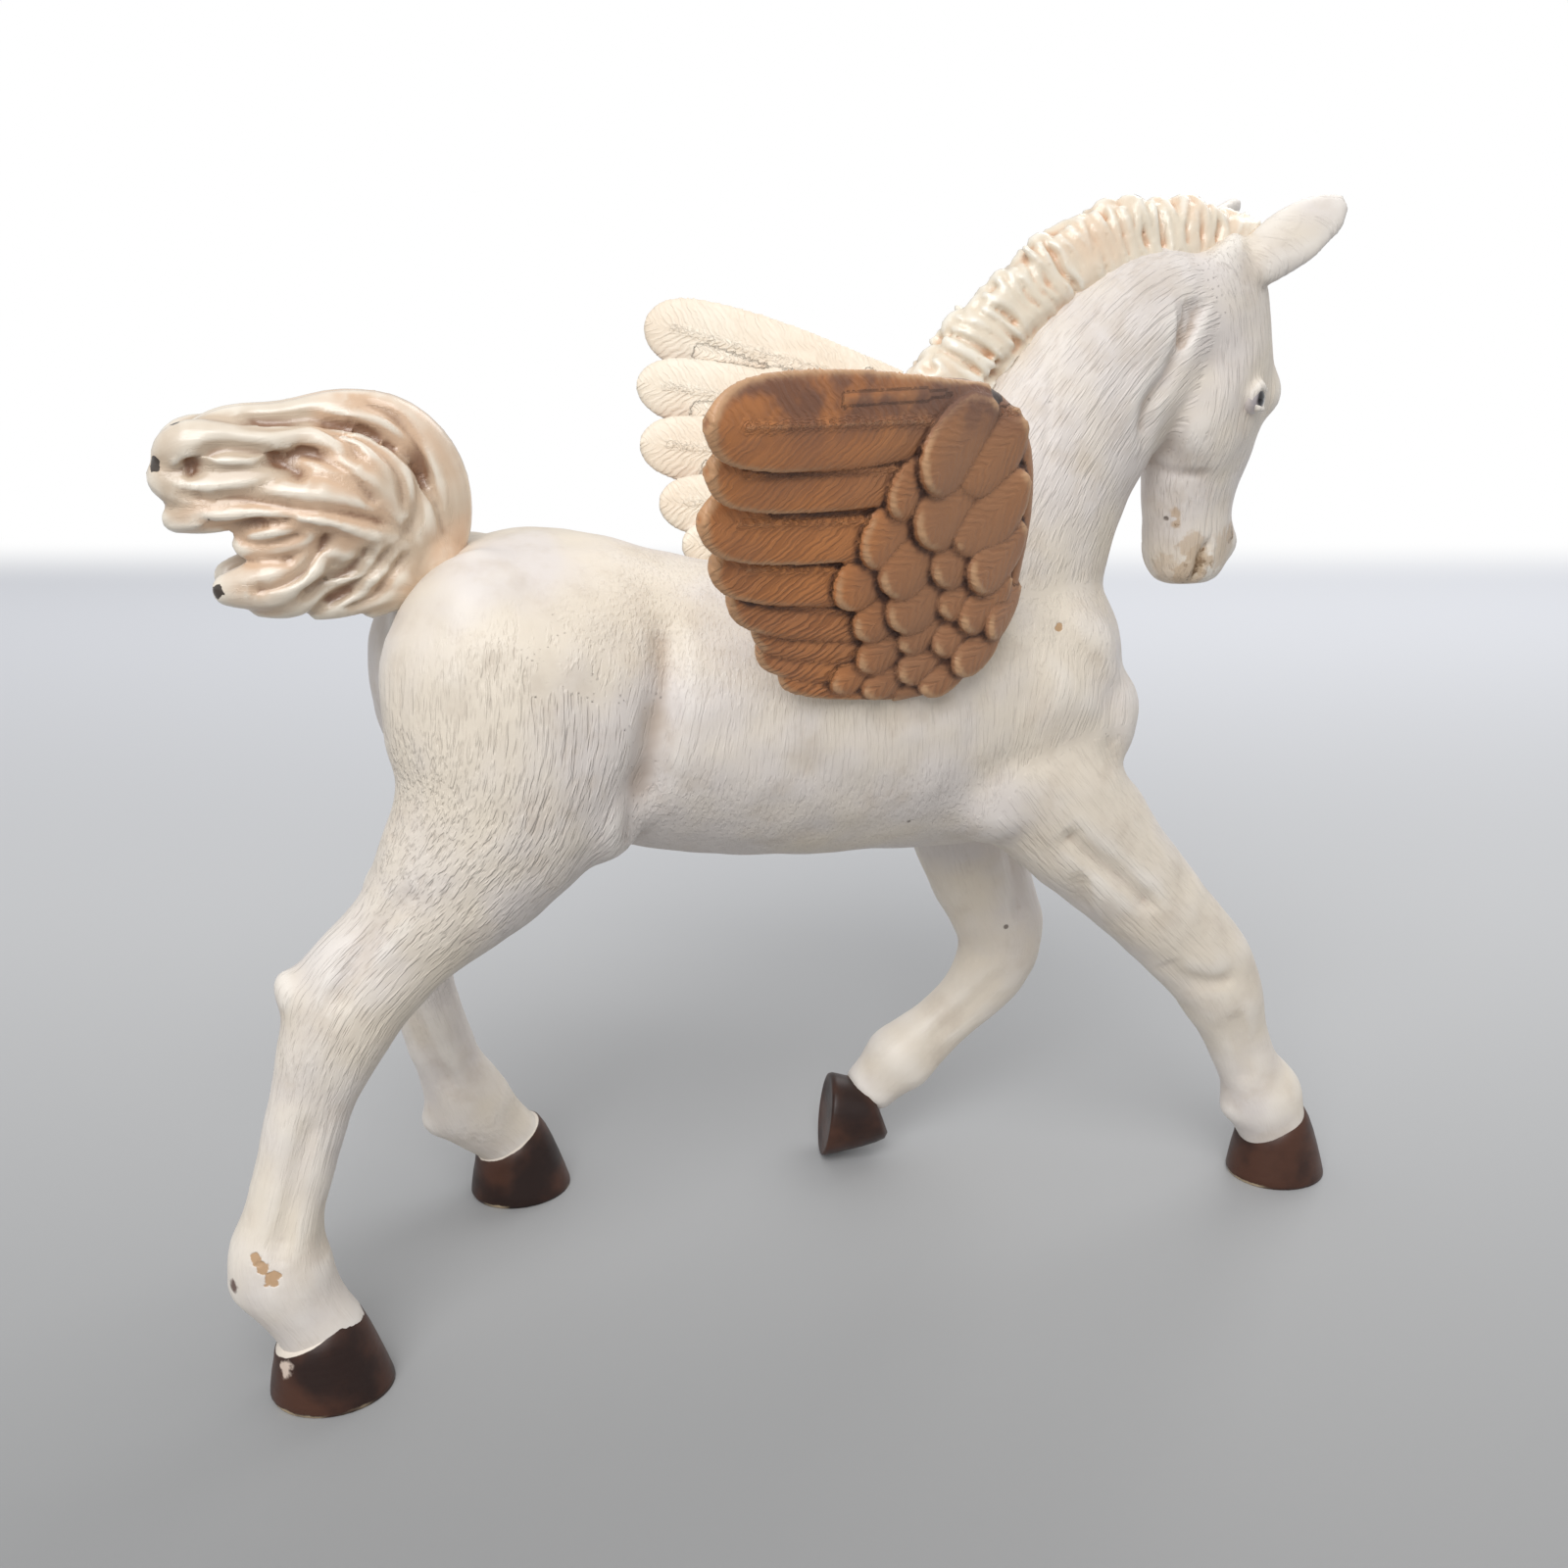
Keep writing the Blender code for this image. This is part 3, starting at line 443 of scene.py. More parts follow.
FAR_HIND = (
    (20, 5.2, 65), (19.4, 6, 60), (18.8, 6.7, 53.5), (18.4, 7.9, 47), (16.6, 9.1, 42),
    (13.7, 10, 37.6), (10.9, 10.7, 33.8), (10.1, 11.3, 30.2), (10.4, 11.8, 26.6),
    (11.3, 12.3, 22.6), (13.1, 13, 15.8), (14.2, 13.4, 12.6), (15.1, 13.7, 10.4), (16.4, 14, 8.6),
    (17.8, 14.2, 7), (19.4, 14.4, 4.8))
FORE_SIZES = (
    (4.6, 3), (7.4, 4.6), (6.4, 4.5), (5.4, 4.2), (4.8, 3.9), (4.6, 3.7), (4.05, 3.5), (3.25, 2.8),
    (3.25, 2.7), (4.25, 3.45), (3.7, 3.25), (3.5, 3.25))
NEAR_FORE = (
    (61, -5.6, 51), (63.6, -6.5, 46.5), (67.9, -7, 41), (73.4, -7.2, 35.2), (78.7, -7.2, 29.6),
    (83, -7, 25), (85.5, -6.8, 20.9), (87.7, -6.6, 16.2), (89.3, -6.5, 12.6), (91.3, -6.4, 9.2),
    (92.4, -6.3, 6.9), (93.6, -6.3, 4.2))
FAR_FORE = (
    (60.6, 5.4, 50.5), (62, 6.4, 45.5), (63.4, 7.2, 39), (65.4, 8.2, 32.6), (67.8, 8.8, 27.4),
    (69.2, 9.1, 23.4), (68.2, 9.3, 19.4), (65.4, 9.6, 16), (62, 9.9, 13), (58.6, 10.1, 10.4),
    (56.8, 10.3, 8.6), (54.8, 10.5, 6.6))
FAR_FORE_SIZES = FORE_SIZES[:-3] + ((3.9, 3.3), (3.1, 2.9), (2.8, 2.7))
body = Clay()
trunk = [(x, 0, (low + top) / 2, (top - low) / 2, half) for x, low, top, half in TRUNK]
body.loft(trunk, sides=32, grain=0.45, turned=True)
for stations, sizes, grain in ((NEAR_HIND, HIND_SIZES, 0.9), (FAR_HIND, HIND_SIZES, 0.9),
                               (NEAR_FORE, FORE_SIZES, 0.5), (FAR_FORE, FAR_FORE_SIZES, 0.5)):
    body.loft([place + size for place, size in zip(stations, sizes)], grain=grain)
print("trunk and legs:", len(body.grain) - 1, "lofts")

# %% [markdown]
# Muscles are ellipsoids pushed into the lofts: haunch, stifle, shoulder and chest, the point of
# each hock and the knot behind each fetlock. The relaxing that follows the remesh melts them in,
# which looks more like flesh than one loft with a bumpy outline.

# %% Muscles and joints
# A centre on the left side, the radii and the tilt in degrees
MUSCLES = (
    ((16.4, 5.4, 57), (8.2, 7.4, 10.5), 8), ((22, 8.2, 53.5), (7.6, 5.4, 10.2), 20),
    ((24.2, 8.4, 47), (4.6, 3.8, 5), 35), ((63.8, 6.6, 53.5), (7.8, 4.8, 8.6), 25),
    ((60, 7.4, 45), (6.2, 4, 5.4), 15))
# The roots of the wings, of which the left one stands a little further forward
WING_ROOTS = (((50, 9.6, 58.4), (7, 4.4, 4.4)), ((53.4, 10.2, 61.6), (4.4, 4, 5.2)))
# Two muscles of the chest, the forearm, the points of the hocks and the knots of the fetlocks
KNOTS = (
    ((69, -5.9, 50.2), (5.1, 4.4, 5.8), 10), ((66.2, 5.2, 49.4), (4.6, 4, 5.4), 10),
    ((70.6, -6.6, 40.6), (4.6, 3.4, 5.6), -52), ((0.2, -9.6, 33.7), (1.6, 2.3, 3.2), -24),
    ((8.3, 11, 32.9), (1.6, 2.3, 3.2), -8), ((-5.95, -11.1, 10.9), (1.4, 1.9, 1.9), 0),
    ((11.5, 13.7, 9.6), (1.4, 1.9, 1.9), 0), ((88.2, -6.4, 8.6), (1.4, 1.9, 1.9), 0))
for side in (-1, 1):
    for (x, y, z), radii, tilt in MUSCLES:
        body.blob((x, side * y, z), radii, (0, tilt, 0))
    for (x, y, z), radii in WING_ROOTS:
        body.blob((x + 2.0 * side, side * y, z), radii, (-18 * side, 0, 0))
for centre, radii, tilt in KNOTS:
    body.blob(centre, radii, (0, tilt, 0))
print("muscles and joints pushed in")

# %% [markdown]
# ## Neck and head
#
# The neck arches up from the shoulders and the head hangs almost straight down, turned 30 degrees
# to the far side. The head has its own axes, forward and right, so that its two sides are
# mirrored in those axes instead of in the body's.

# %% Neck and head
HEAD_TURN = math.radians(30.0)
forward = Vector((math.cos(HEAD_TURN), math.sin(HEAD_TURN), 0))
right = Vector((math.sin(HEAD_TURN), -math.cos(HEAD_TURN), 0))
NECK = (
    (57, 0, 54, 14, 9.7), (60.4, 0, 60.5, 12.2, 8.9), (63.6, 0, 67, 10.2, 7.3),
    (67.4, 0, 73.4, 8.9, 6.3), (72.2, 0.2, 79.4, 8.3, 5.8), (77.4, 0.9, 83.6, 7.4, 5.5),
    (82.6, 1.8, 85.2, 5, 4.6))
HEAD = (
    (81.2, 1.2, 90.2, 4.1, 3.9), (82.6, 1.5, 87.6, 5.8, 4.7), (83.9, 1.9, 83.6, 6.5, 5),
    (84.5, 2.2, 78.6, 6.8, 5.1), (84, 2.3, 74.4, 6.6, 4.8), (83.3, 2.4, 70.2, 5.7, 4.2),
    (83.3, 2.5, 66.6, 4.9, 3.9), (83.5, 2.6, 63.8, 4.6, 4), (83.7, 2.6, 61.6, 4.05, 3.6),
    (83.8, 2.6, 60.2, 2.8, 2.5))
body.loft(NECK, sides=28, grain=0.6)
body.loft(HEAD, across=right, sides=28, grain=0.6)

# Brow, jaw, nostril and chin: a point, how far forward and to its side, and the radii
for point, ahead, aside, radii in (((84.4, 2.2, 77.8), 3.7, 3.5, (2.3, 1.8, 2.5)),
                                   ((83.6, 2.2, 76.0), -1.9, 2.1, (5.2, 3.0, 6.4)),
                                   ((83.7, 2.6, 63.8), 2.8, 2.0, (1.9, 1.6, 1.9)),
                                   ((83.7, 2.6, 61.8), -2.4, 0.0, (1.9, 2.6, 1.7))):
    for side in (-1, 1):
        centre = Vector(point) + forward * ahead + right * (side * aside)
        body.blob(centre, radii, (0, 0, math.degrees(HEAD_TURN)))
body_forms = remeshed(body.bm, voxel=0.6, relax=10)
print("body before its details:", len(body_forms.vertices), "vertices")

# %% [markdown]
# ## Ears and eyelids
#
# The ears are leaves that reach forward and out, a little bowed and thinner towards the tip. Each
# eyelid is a thin tube that follows an almond on the eyeball. They join the skin in a second,
# finer remesh, since the first would have melted them away.

# %% Ears and eyelids
details = bmesh.new()
details.from_mesh(body_forms)
trim = Clay()
EAR_WIDTHS = (0.62, 0.88, 1, 1.02, 0.94, 0.76, 0.38)
UP = Vector((0, 0, 1))
for side, base, reach in (
        (1, Vector((83.0, 1.5, 87.6)) + right * 2.9, forward * 9.9 + right * 4.4 + UP * 6.5),
        (-1, Vector((83.5, 1.9, 87.6)) - right * 2.5, forward * 10.8 - right * 1.2 + UP * 6.6)):
    back = (forward * -0.42 + right * (side * 0.66) + UP * 0.42).normalized()
    rows = []
    for i, width in enumerate(EAR_WIDTHS):
        t = i / (len(EAR_WIDTHS) - 1)
        bow = back * (0.9 * math.sin(math.pi * t))
        rows.append((*(base + reach * t + bow), 2.55 * width, 1.5 * (1.0 - 0.5 * t)))
    trim.loft(rows, across=back)
EYE_RADIUS = 1.5
EYE_LINE = Vector((84.4, 2.2, 77.3)) + forward * -0.7
HALF_EYE_GAP = 4.28
UPPER_LID, LOWER_LID = 48.0, -38.0
eyes = []
for side in (-1, 1):
    eye = EYE_LINE + right * (side * HALF_EYE_GAP)
    gaze = (right * (side * 0.99) + forward * 0.10).normalized()
    level = gaze.cross(UP) * -side
    eyes.append((side, eye, gaze))
    for lift in (UPPER_LID, LOWER_LID):
        rows = []
        for t in np.linspace(0, 1, 9):
            turn = math.radians(-58 + 116 * t)
            rise = math.radians(lift * math.sin(math.pi * t) + 8 * (0.5 - t))
            way = gaze * math.cos(turn) * math.cos(rise) + level * math.sin(turn) * math.cos(rise)
            way += UP * math.sin(rise)
            thick = (0.5 if lift > 0 else 0.36) * (0.4 + 0.6 * math.sin(math.pi * t))
            rows.append((*(eye + way * (EYE_RADIUS + 0.05)), thick, thick))
        trim.loft(rows, across=gaze, sides=10, steps=2)
details.from_mesh(mesh_from(trim.bm, "trim"))
skin = remeshed(details, voxel=0.36, relax=2)
print("skin with its details:", len(skin.vertices), "vertices")

# %% [markdown]
# ## Carved lines
#
# The master's folds are grooves: the flank crease, the line between jaw and neck, the tendons
# down each leg, the mouth and nostrils. A groove is a curve seen from one side, and the skin near
# it is pressed in along its normals. That is quicker to control than cutting the mesh.

# %% Grooves in the skin
def carve(mesh, view, points, width, depth):
    """Presses a groove along a line that is seen along view. Points are across and up in mm."""
    places = read_points(mesh)
    normals = read_points(mesh, "normal")
    view = Vector(view).normalized()
    level = UP.cross(view).normalized()
    if level.x < 0:
        level = -level
    seen = np.stack([places @ np.array(level), places[:, 2]], axis=1)
    line = smooth_rows(points, 10) * MM
    gap = np.linalg.norm(seen[:, None] - line[None], axis=2)
    along = gap.argmin(axis=1) / (len(line) - 1)
    fade = np.clip(np.sin(np.pi * np.clip(along, 0.02, 0.98)) * 2.5, 0, 1)
    facing = np.clip(normals @ np.array(view) * 2.0, 0, 1)
    press = depth * MM * np.exp(-(gap.min(axis=1) / (width * MM)) ** 2) * fade * facing
    write_points(mesh, places - normals * press[:, None])


NEAR, FAR = (0, -1, 0), (0, 1, 0)
FLANK = ((30.2, 63), (29.6, 58), (28.4, 53), (27.4, 48), (26.6, 42.6))
SHOULDER = ((62.4, 60), (66, 56.6), (69.6, 52), (70.6, 46.4))
JAW = ((79, 86.4), (77.8, 83.6), (76, 79.6), (74, 77), (74.2, 72.9))
# A view, a line, its width and its depth; the short folds lie just below the ear
GROOVES = (
    (NEAR, FLANK, 1.4, 1.0), (FAR, FLANK, 1.4, 1.0),
    (NEAR, SHOULDER, 1.5, 0.5), (FAR, SHOULDER, 1.5, 0.5),
    (NEAR, JAW, 0.9, 0.7), (FAR, ((79.0, 84.0), (78.6, 80.0), (77.6, 76.0)), 0.9, 0.7),
    *((NEAR, ((78.4 + shift, 86.0), (77.8 + 0.5 * shift, 83.6), (77.2, 81.6)), 0.25, 0.3)
      for shift in (-1.7, -0.9, 0.8, 1.6)),
    (NEAR, ((76.4, 72.6), (78.4, 71.1), (80.4, 70.7), (82.4, 70.8)), 0.45, 0.3),
    (NEAR, ((66.0, 84.4), (65.1, 80.1), (64.2, 75.6), (63.8, 71.0)), 0.3, 0.14),
    (NEAR, ((9.6, 43.4), (5.2, 38.6), (2.2, 33.8)), 0.9, 0.5),
    (FAR, ((14.6, 42.4), (11.8, 38.0), (9.4, 33.8)), 0.9, 0.5),
    (NEAR, ((0.6, 26.0), (-1.4, 20.0), (-3.3, 13.8)), 0.9, 0.4),
    (NEAR, ((4.2, 25.0), (2.2, 19.0), (0.4, 12.6)), 0.8, 0.25),
    (FAR, ((10.0, 25.0), (12.6, 17.0), (15.0, 11.0)), 0.7, 0.5),
    (NEAR, ((8.6, 27.0), (10.6, 20.0), (13.4, 13.0)), 0.8, 0.45),
    (NEAR, ((64.6, 41.6), (67.1, 39.2), (71.1, 36.0), (75.0, 32.4)), 1.0, 0.7),
    (NEAR, ((76.4, 27.2), (78.6, 25.4), (81.6, 24.4), (84.4, 24.8)), 0.9, 0.35),
    (NEAR, ((84.6, 21.6), (86.4, 16.4), (88.0, 12.0)), 0.9, 0.3),
    (NEAR, ((66.6, 37.6), (68.6, 31.4), (69.6, 26.0)), 0.9, 0.5),
    (NEAR, ((68.2, 21.0), (64.6, 16.4), (60.6, 12.8)), 0.9, 0.25))
for groove in GROOVES:
    carve(skin, *groove)
# The mouth and a nostril on each side, by how far forward on the head they lie
middle = Vector((84.0, 2.2, 0)).dot(forward)
for view in (right, -right):
    carve(skin, view, ((middle - 2.3, 64.8), (middle - 2.8, 62.8), (middle - 2.4, 60.6)), 0.34, 0.6)
    carve(skin, view, ((middle + 3.4, 65.0), (middle + 4.4, 64.4), (middle + 4.6, 63.5)), 0.4, 0.5)
print(len(GROOVES), "grooves carved, then mouth and nostrils")

# %% [markdown]
# A hand-carved surface is never perfectly even, so the skin gets a low swell of noise, a tenth of
# a millimetre high. Its flow, hollows and seams are stored last, when its shape is final.

# %% A hand-carved swell
def swell(mesh, height, size):
    """Moves the skin in and out by smooth noise."""
    places = read_points(mesh)
    normals = read_points(mesh, "normal")
    lift = np.array([noise.noise(Vector(place) / (size * MM)) for place in places])
    write_points(mesh, places + normals * (lift * height * MM)[:, None])


swell(skin, height=0.16, size=3.2)
settle(skin, body, hollow_steps=14, seam_steps=8)
print("skin settled")

# %% [markdown]
# ## Pearl paint
#
# The coat is a pearly off-white with a little cream and a little lilac in it, mottled with beige.
# Fine strokes of hair run along each form, so a noise is stretched along the stored flow and used
# as bump. They fade down the legs, on the rump and wherever two forms meet. A thin beige wash
# lies in the hollows and in the stroke grooves, and it also serves as painted shade there. The
# ridges carry a painted highlight, and small dark pits show where the paint missed.

# %% Pearl paint for the coat
pearl = Paint("pearl_paint", Coat_Weight=0.12, Coat_Roughness=0.38)
flow = pearl.stored("flow", "Vector")
hollow = pearl.stored("hollow")
clear = pearl.ramp(pearl.stored("seam"), 0.2, 0.8)
level = pearl.axis(pearl.place, 2)
rump = pearl.spot((14.0, 0.0, 67.0), 17.0, 0.1)
furry = (pearl.ramp(level, 0.012, 0.044) * 0.8 + 0.2) * (1.0 - rump)
grain = pearl.stored("grain") * (pearl.cloud(pearl.place, 60.0) + 0.5) * clear * furry
strokes = pearl.cloud(pearl.scaled(flow, (0.26, 2.7, 2.7)), 1.0)
ridges = pearl.ramp(strokes, 0.52, 0.70)
grooves = pearl.ramp(strokes, 0.46, 0.30)
dabs = pearl.cloud(pearl.place, 900.0)
patches = pearl.cloud(pearl.place, 75.0, 3.0)
CREAM_PEARL, LILAC_PEARL = (0.75, 0.665, 0.555, 1), (0.71, 0.65, 0.61, 1)
pearl.colour = pearl.mix(pearl.ramp(patches, 0.38, 0.62), CREAM_PEARL, LILAC_PEARL)
mottle = pearl.ramp(pearl.cloud(pearl.place, 210.0, 4.0, 0.6), 0.48, 0.72)
pearl.cover(mottle * 0.45, (0.56, 0.47, 0.38))
# Wash and painted shade: the hollows are painted beige-brown, partly a real wash and partly the
# shade that falls in them
wash_and_shade = pearl.ramp(hollow + (strokes - 0.5) * clear * 0.10, 0.03, 0.40)
pearl.cover(wash_and_shade * 0.6, (0.42, 0.31, 0.23))
# Painted highlight: where the skin stands above its surroundings it is painted a lighter cream
pearl.cover(pearl.ramp(hollow, -0.04, -0.20) * 0.5, (0.88, 0.83, 0.77))
# Painted shade, partly wash: the grooves of the hair strokes are painted a little darker
pearl.cover(grooves * grain * 0.15, (0.50, 0.40, 0.31))
cells = pearl.node("TexVoronoi", None, {"Vector": pearl.place, "Scale": 230.0, "Randomness": 1.0})
rough = pearl.spot((12.6, 12.6, 17.0), 11.0, 0.2)
pitted = pearl.ramp(pearl.cloud(pearl.place, 170.0) + rough * 0.10, 0.56, 0.62)
pits = pitted * pearl.ramp(cells, 0.075, 0.045)
pearl.cover(pits * 0.8, (0.10, 0.07, 0.05))

# Bare and dirty places: where, how wide and how strong
STAINS = (
    ((81.7, -1.2, 64.2), 1.6, 0.9), ((82.6, -1.3, 62.6), 1.8, 1), ((82, -1, 61), 2, 1),
    ((79.7, -1.4, 67.2), 0.9, 1.2), ((79.8, -1.4, 66.1), 0.9, 1.2), ((85.4, 0, 63.6), 2.6, 0.7),
    ((80.4, 0.2, 61.4), 2.4, 0.7), ((86.6, 0.2, 65.2), 1.3, 0.9))
stains = sum(pearl.spot(centre, radius, 0.5) * force for centre, radius, force in STAINS)
soft = pearl.ramp(stains, 0.0, 1.3)
speckle = pearl.cloud(pearl.place, 1100.0, 4.0, 0.65)
pearl.cover(soft * 0.6, (0.47, 0.30, 0.145))
flecks = pearl.ramp(speckle * soft + hollow * soft * 0.4, 0.46, 0.60)
pearl.cover(flecks * 0.75, (0.17, 0.09, 0.035))
SCUFFS = (
    ((68.2, -9, 57.4), 0.5), ((-5, -14, 14.5), 0.8), ((-4.4, -14.2, 13.8), 0.8),
    ((-3.7, -14.3, 13), 0.8), ((57.4, 8, 12), 0.5), ((26.6, -10, 42.4), 0.6),
    ((64.1, -9.5, 59.3), 0.5))
scuffs = pearl.spots(SCUFFS, 0.7)
scuffed = pearl.ramp(scuffs * (speckle + 0.5), 0.3, 0.9)
pearl.cover(scuffed * 0.85, (0.46, 0.26, 0.11))
chip = pearl.spot((-7.0, -12.8, 11.8), 0.8, 0.5)
pearl.cover(chip, (0.16, 0.10, 0.08))
height = (ridges - grooves) * grain * 0.60 + dabs * 0.20 - pits * 0.5 - scuffs * 0.4
height = height + pearl.cloud(pearl.place, 420.0, 3.0) * rough * 1.2
pearl.finish(pearl.cloud(pearl.place, 320.0) * 0.2 + 0.36, height, 0.14)
show_piece("coat_skin", skin, pearl)

# %% [markdown]
# ## Eyes
#
# Each eye is a ball set in its lids: a dark pupil, a smoky white beside it and a clear gloss. The
# pupil is painted by distance from a point on the ball, so no second mesh is needed.

# %% Eyes
for side, eye, gaze in eyes:
    bm = bmesh.new()
    bmesh.ops.create_uvsphere(bm, u_segments=48, v_segments=32, radius=EYE_RADIUS * MM,
                              matrix=Matrix.Translation(eye * MM))
    ball = mesh_from(bm, "eye")
    bm.free()
    label = "near" if side > 0 else "far"
    glass = Paint(label + "_eye_paint", Coat_Weight=0.6, Coat_Roughness=0.1)
    pupil_at = eye + (gaze - forward * 0.10).normalized() * EYE_RADIUS
    pupil = glass.spot(pupil_at, 0.95, 0.1)
    rim = glass.spot(pupil_at, 1.6, 0.2)
    glass.colour = glass.mix(rim, (0.60, 0.53, 0.50, 1), (0.40, 0.36, 0.37, 1))
    glass.cover(pupil, (0.008, 0.006, 0.008))
    glass.finish(pupil * -0.15 + 0.3, pupil, 0.02)
    show_piece(label + "_eye", ball, glass)

# %% [markdown]
# ## Hooves
#
# A hoof is a short cone, longer than wide, with the coronet lower at the heel. Rings of
# create_circle are bridged from the slightly dished sole to the coronet, and each ring leans a
# little more than the one below. The fourth hoof is lifted, and only its toe hangs down.

# %% Hooves
HOOF_LENGTH, HOOF_WIDTH, HOOF_HEIGHT = 9.9, 8.6, 5.95
SOLE = SOLE_LEVEL / HOOF_HEIGHT
HOOF_LEAN = 0.48
# What the paint reads as height, the ring's height, its shift back, and its length and width
HOOF_RINGS = (
    (0.4, 0.06, 0, 0.8, 0.8), (0.2, SOLE, 0, 0.92, 0.92), (0, 0.045, 0, 0.99, 0.99),
    (0.1, 0.1, -0.01, 1, 1), (0.25, 0.25, -0.03, 0.96, 0.97), (0.45, 0.45, -0.05, 0.91, 0.93),
    (0.65, 0.65, -0.07, 0.86, 0.89), (0.85, 0.85, -0.09, 0.8, 0.84), (1, 1, -0.115, 0.745, 0.79),
    (1.12, 1.1, -0.12, 0.6, 0.62))


def hoof(clay, sole, yaw, pitch, share):
    """A hoof wall whose rings store a height for the paint, from 0 at the sole's rim."""
    place = Matrix.Translation(Vector(sole)) @ Matrix.Rotation(yaw, 4, "Z")
    place = place @ Matrix.Rotation(pitch, 4, "Y") @ Matrix.Scale(share, 4)
    rings = []
    for stored, height, back, length, width in HOOF_RINGS:
        seat = place @ Matrix.Translation(Vector((back * HOOF_LENGTH, 0, height * HOOF_HEIGHT)))
        lean = HOOF_LEAN * min(height, 1.0) if height > 0.1 else 0.0
        seat = seat @ Matrix.Rotation(-lean, 4, "Y")
        half_length, half_width = 0.5 * HOOF_LENGTH * length, 0.5 * HOOF_WIDTH * width
        rings.append(clay.ring(seat, half_length, half_width, 40, stored))
    clay.close(rings)


hooves = Clay()
for sole, yaw, pitch, share in (((0.1, -11.3, 0), -4, 0, 1), ((19.6, 14.4, 0), 8, 0, 1),
                                ((93.9, -6.3, 0), -6, 0, 1),
                                ((50.6, 10.9, 4.85), -12, 98, 0.88)):
    hoof(hooves, sole, math.radians(yaw), math.radians(pitch), share)
bmesh.ops.recalc_face_normals(hooves.bm, faces=hooves.bm.faces)
hoof_mesh = mesh_from(hooves.bm, "hooves")
print("four hooves")

# %% [markdown]
# The chocolate paint is satin. It ends in a clean line at the coronet, above which the white of
# the leg goes on, and in places the rim of a sole is worn down to cream plastic. The stored height
# finds both edges.

# %% Hoof paint
horn = Paint("hoof_paint", Coat_Weight=0.12, Coat_Roughness=0.3, Specular_IOR_Level=0.35)
height = horn.axis(horn.stored("flow", "Vector"), 0)
ragged = horn.cloud(horn.place, 420.0, 4.0, 0.6) - 0.5
lifted = horn.spot((53.0, 9.8, 4.6), 12.0, 0.0)
worn = horn.ramp(horn.cloud(horn.place, 150.0), 0.47, 0.54) * (1.0 - lifted)
rim = horn.ramp(height + ragged * 0.3, 0.10, 0.05) * worn
chip = horn.spot((-3.8, -13.9, 4.2), 1.0, 0.6)
leg = horn.ramp(height + ragged * 0.05, 1.03, 1.04) * (1.0 - lifted)
DARK_HORN, BROWN_HORN = (0.020, 0.0075, 0.005, 1), (0.070, 0.026, 0.014, 1)
patches = horn.ramp(horn.cloud(horn.place, 200.0, 3.0), 0.35, 0.65)
horn.colour = horn.mix(patches, DARK_HORN, BROWN_HORN)
horn.cover(rim, (0.60, 0.46, 0.30))
horn.cover(chip, (0.62, 0.50, 0.42))
horn.cover(leg, (0.76, 0.68, 0.59))
rings = horn.cloud(horn.scaled(horn.place, (1, 1, 5)), 300.0)
horn.finish(horn.cloud(horn.place, 700.0) * 0.2 + 0.34, rings * 0.4 - rim - chip, 0.10)
show_piece("hooves", hoof_mesh, horn)

# %% [markdown]
# ## Mane
#
# The mane stands up along the crest in uneven tufts, each a flat lock that narrows to a blunt end.
# Four thin strands lie on each side of a tuft, and the grooves between them catch the wash. A
# sheet inside joins the tufts. Seeded generators make them uneven in the same way each time.

# %% Mane
MANE_ROOT = (
    (52.6, -0.6, 68.4), (54.4, -0.6, 73.2), (58.6, -0.4, 79.2), (63.2, 0, 84), (68.6, 0.4, 87.6),
    (74.4, 0.9, 89.2), (80.2, 1.2, 90), (84.6, 1.8, 89.6))
MANE_EDGE = (
    (47.2, -0.6, 70.6), (49.8, -0.6, 76.2), (54.6, -0.4, 81.8), (59.6, 0, 87), (66, 0.4, 91.8),
    (73, 0.9, 94.4), (80.4, 1.2, 94.8), (86.4, 1.8, 93.2))
TUFTS = 22
MANE_HEIGHT = 0.975
STRAND_SLOTS = (-1.35, -0.45, 0.45, 1.35)
chance = np.random.default_rng(11)
strand_chance = np.random.default_rng(5)
mane = Clay()
roots = [Vector(row) for row in smooth_rows(MANE_ROOT, 30)]
tips = [Vector(row) for row in smooth_rows(MANE_EDGE, 30)]
last = len(roots) - 1
spacing = np.cumsum(chance.uniform(0.6, 1.4, TUFTS))
spacing = (spacing - spacing[0]) / (spacing[-1] - spacing[0])
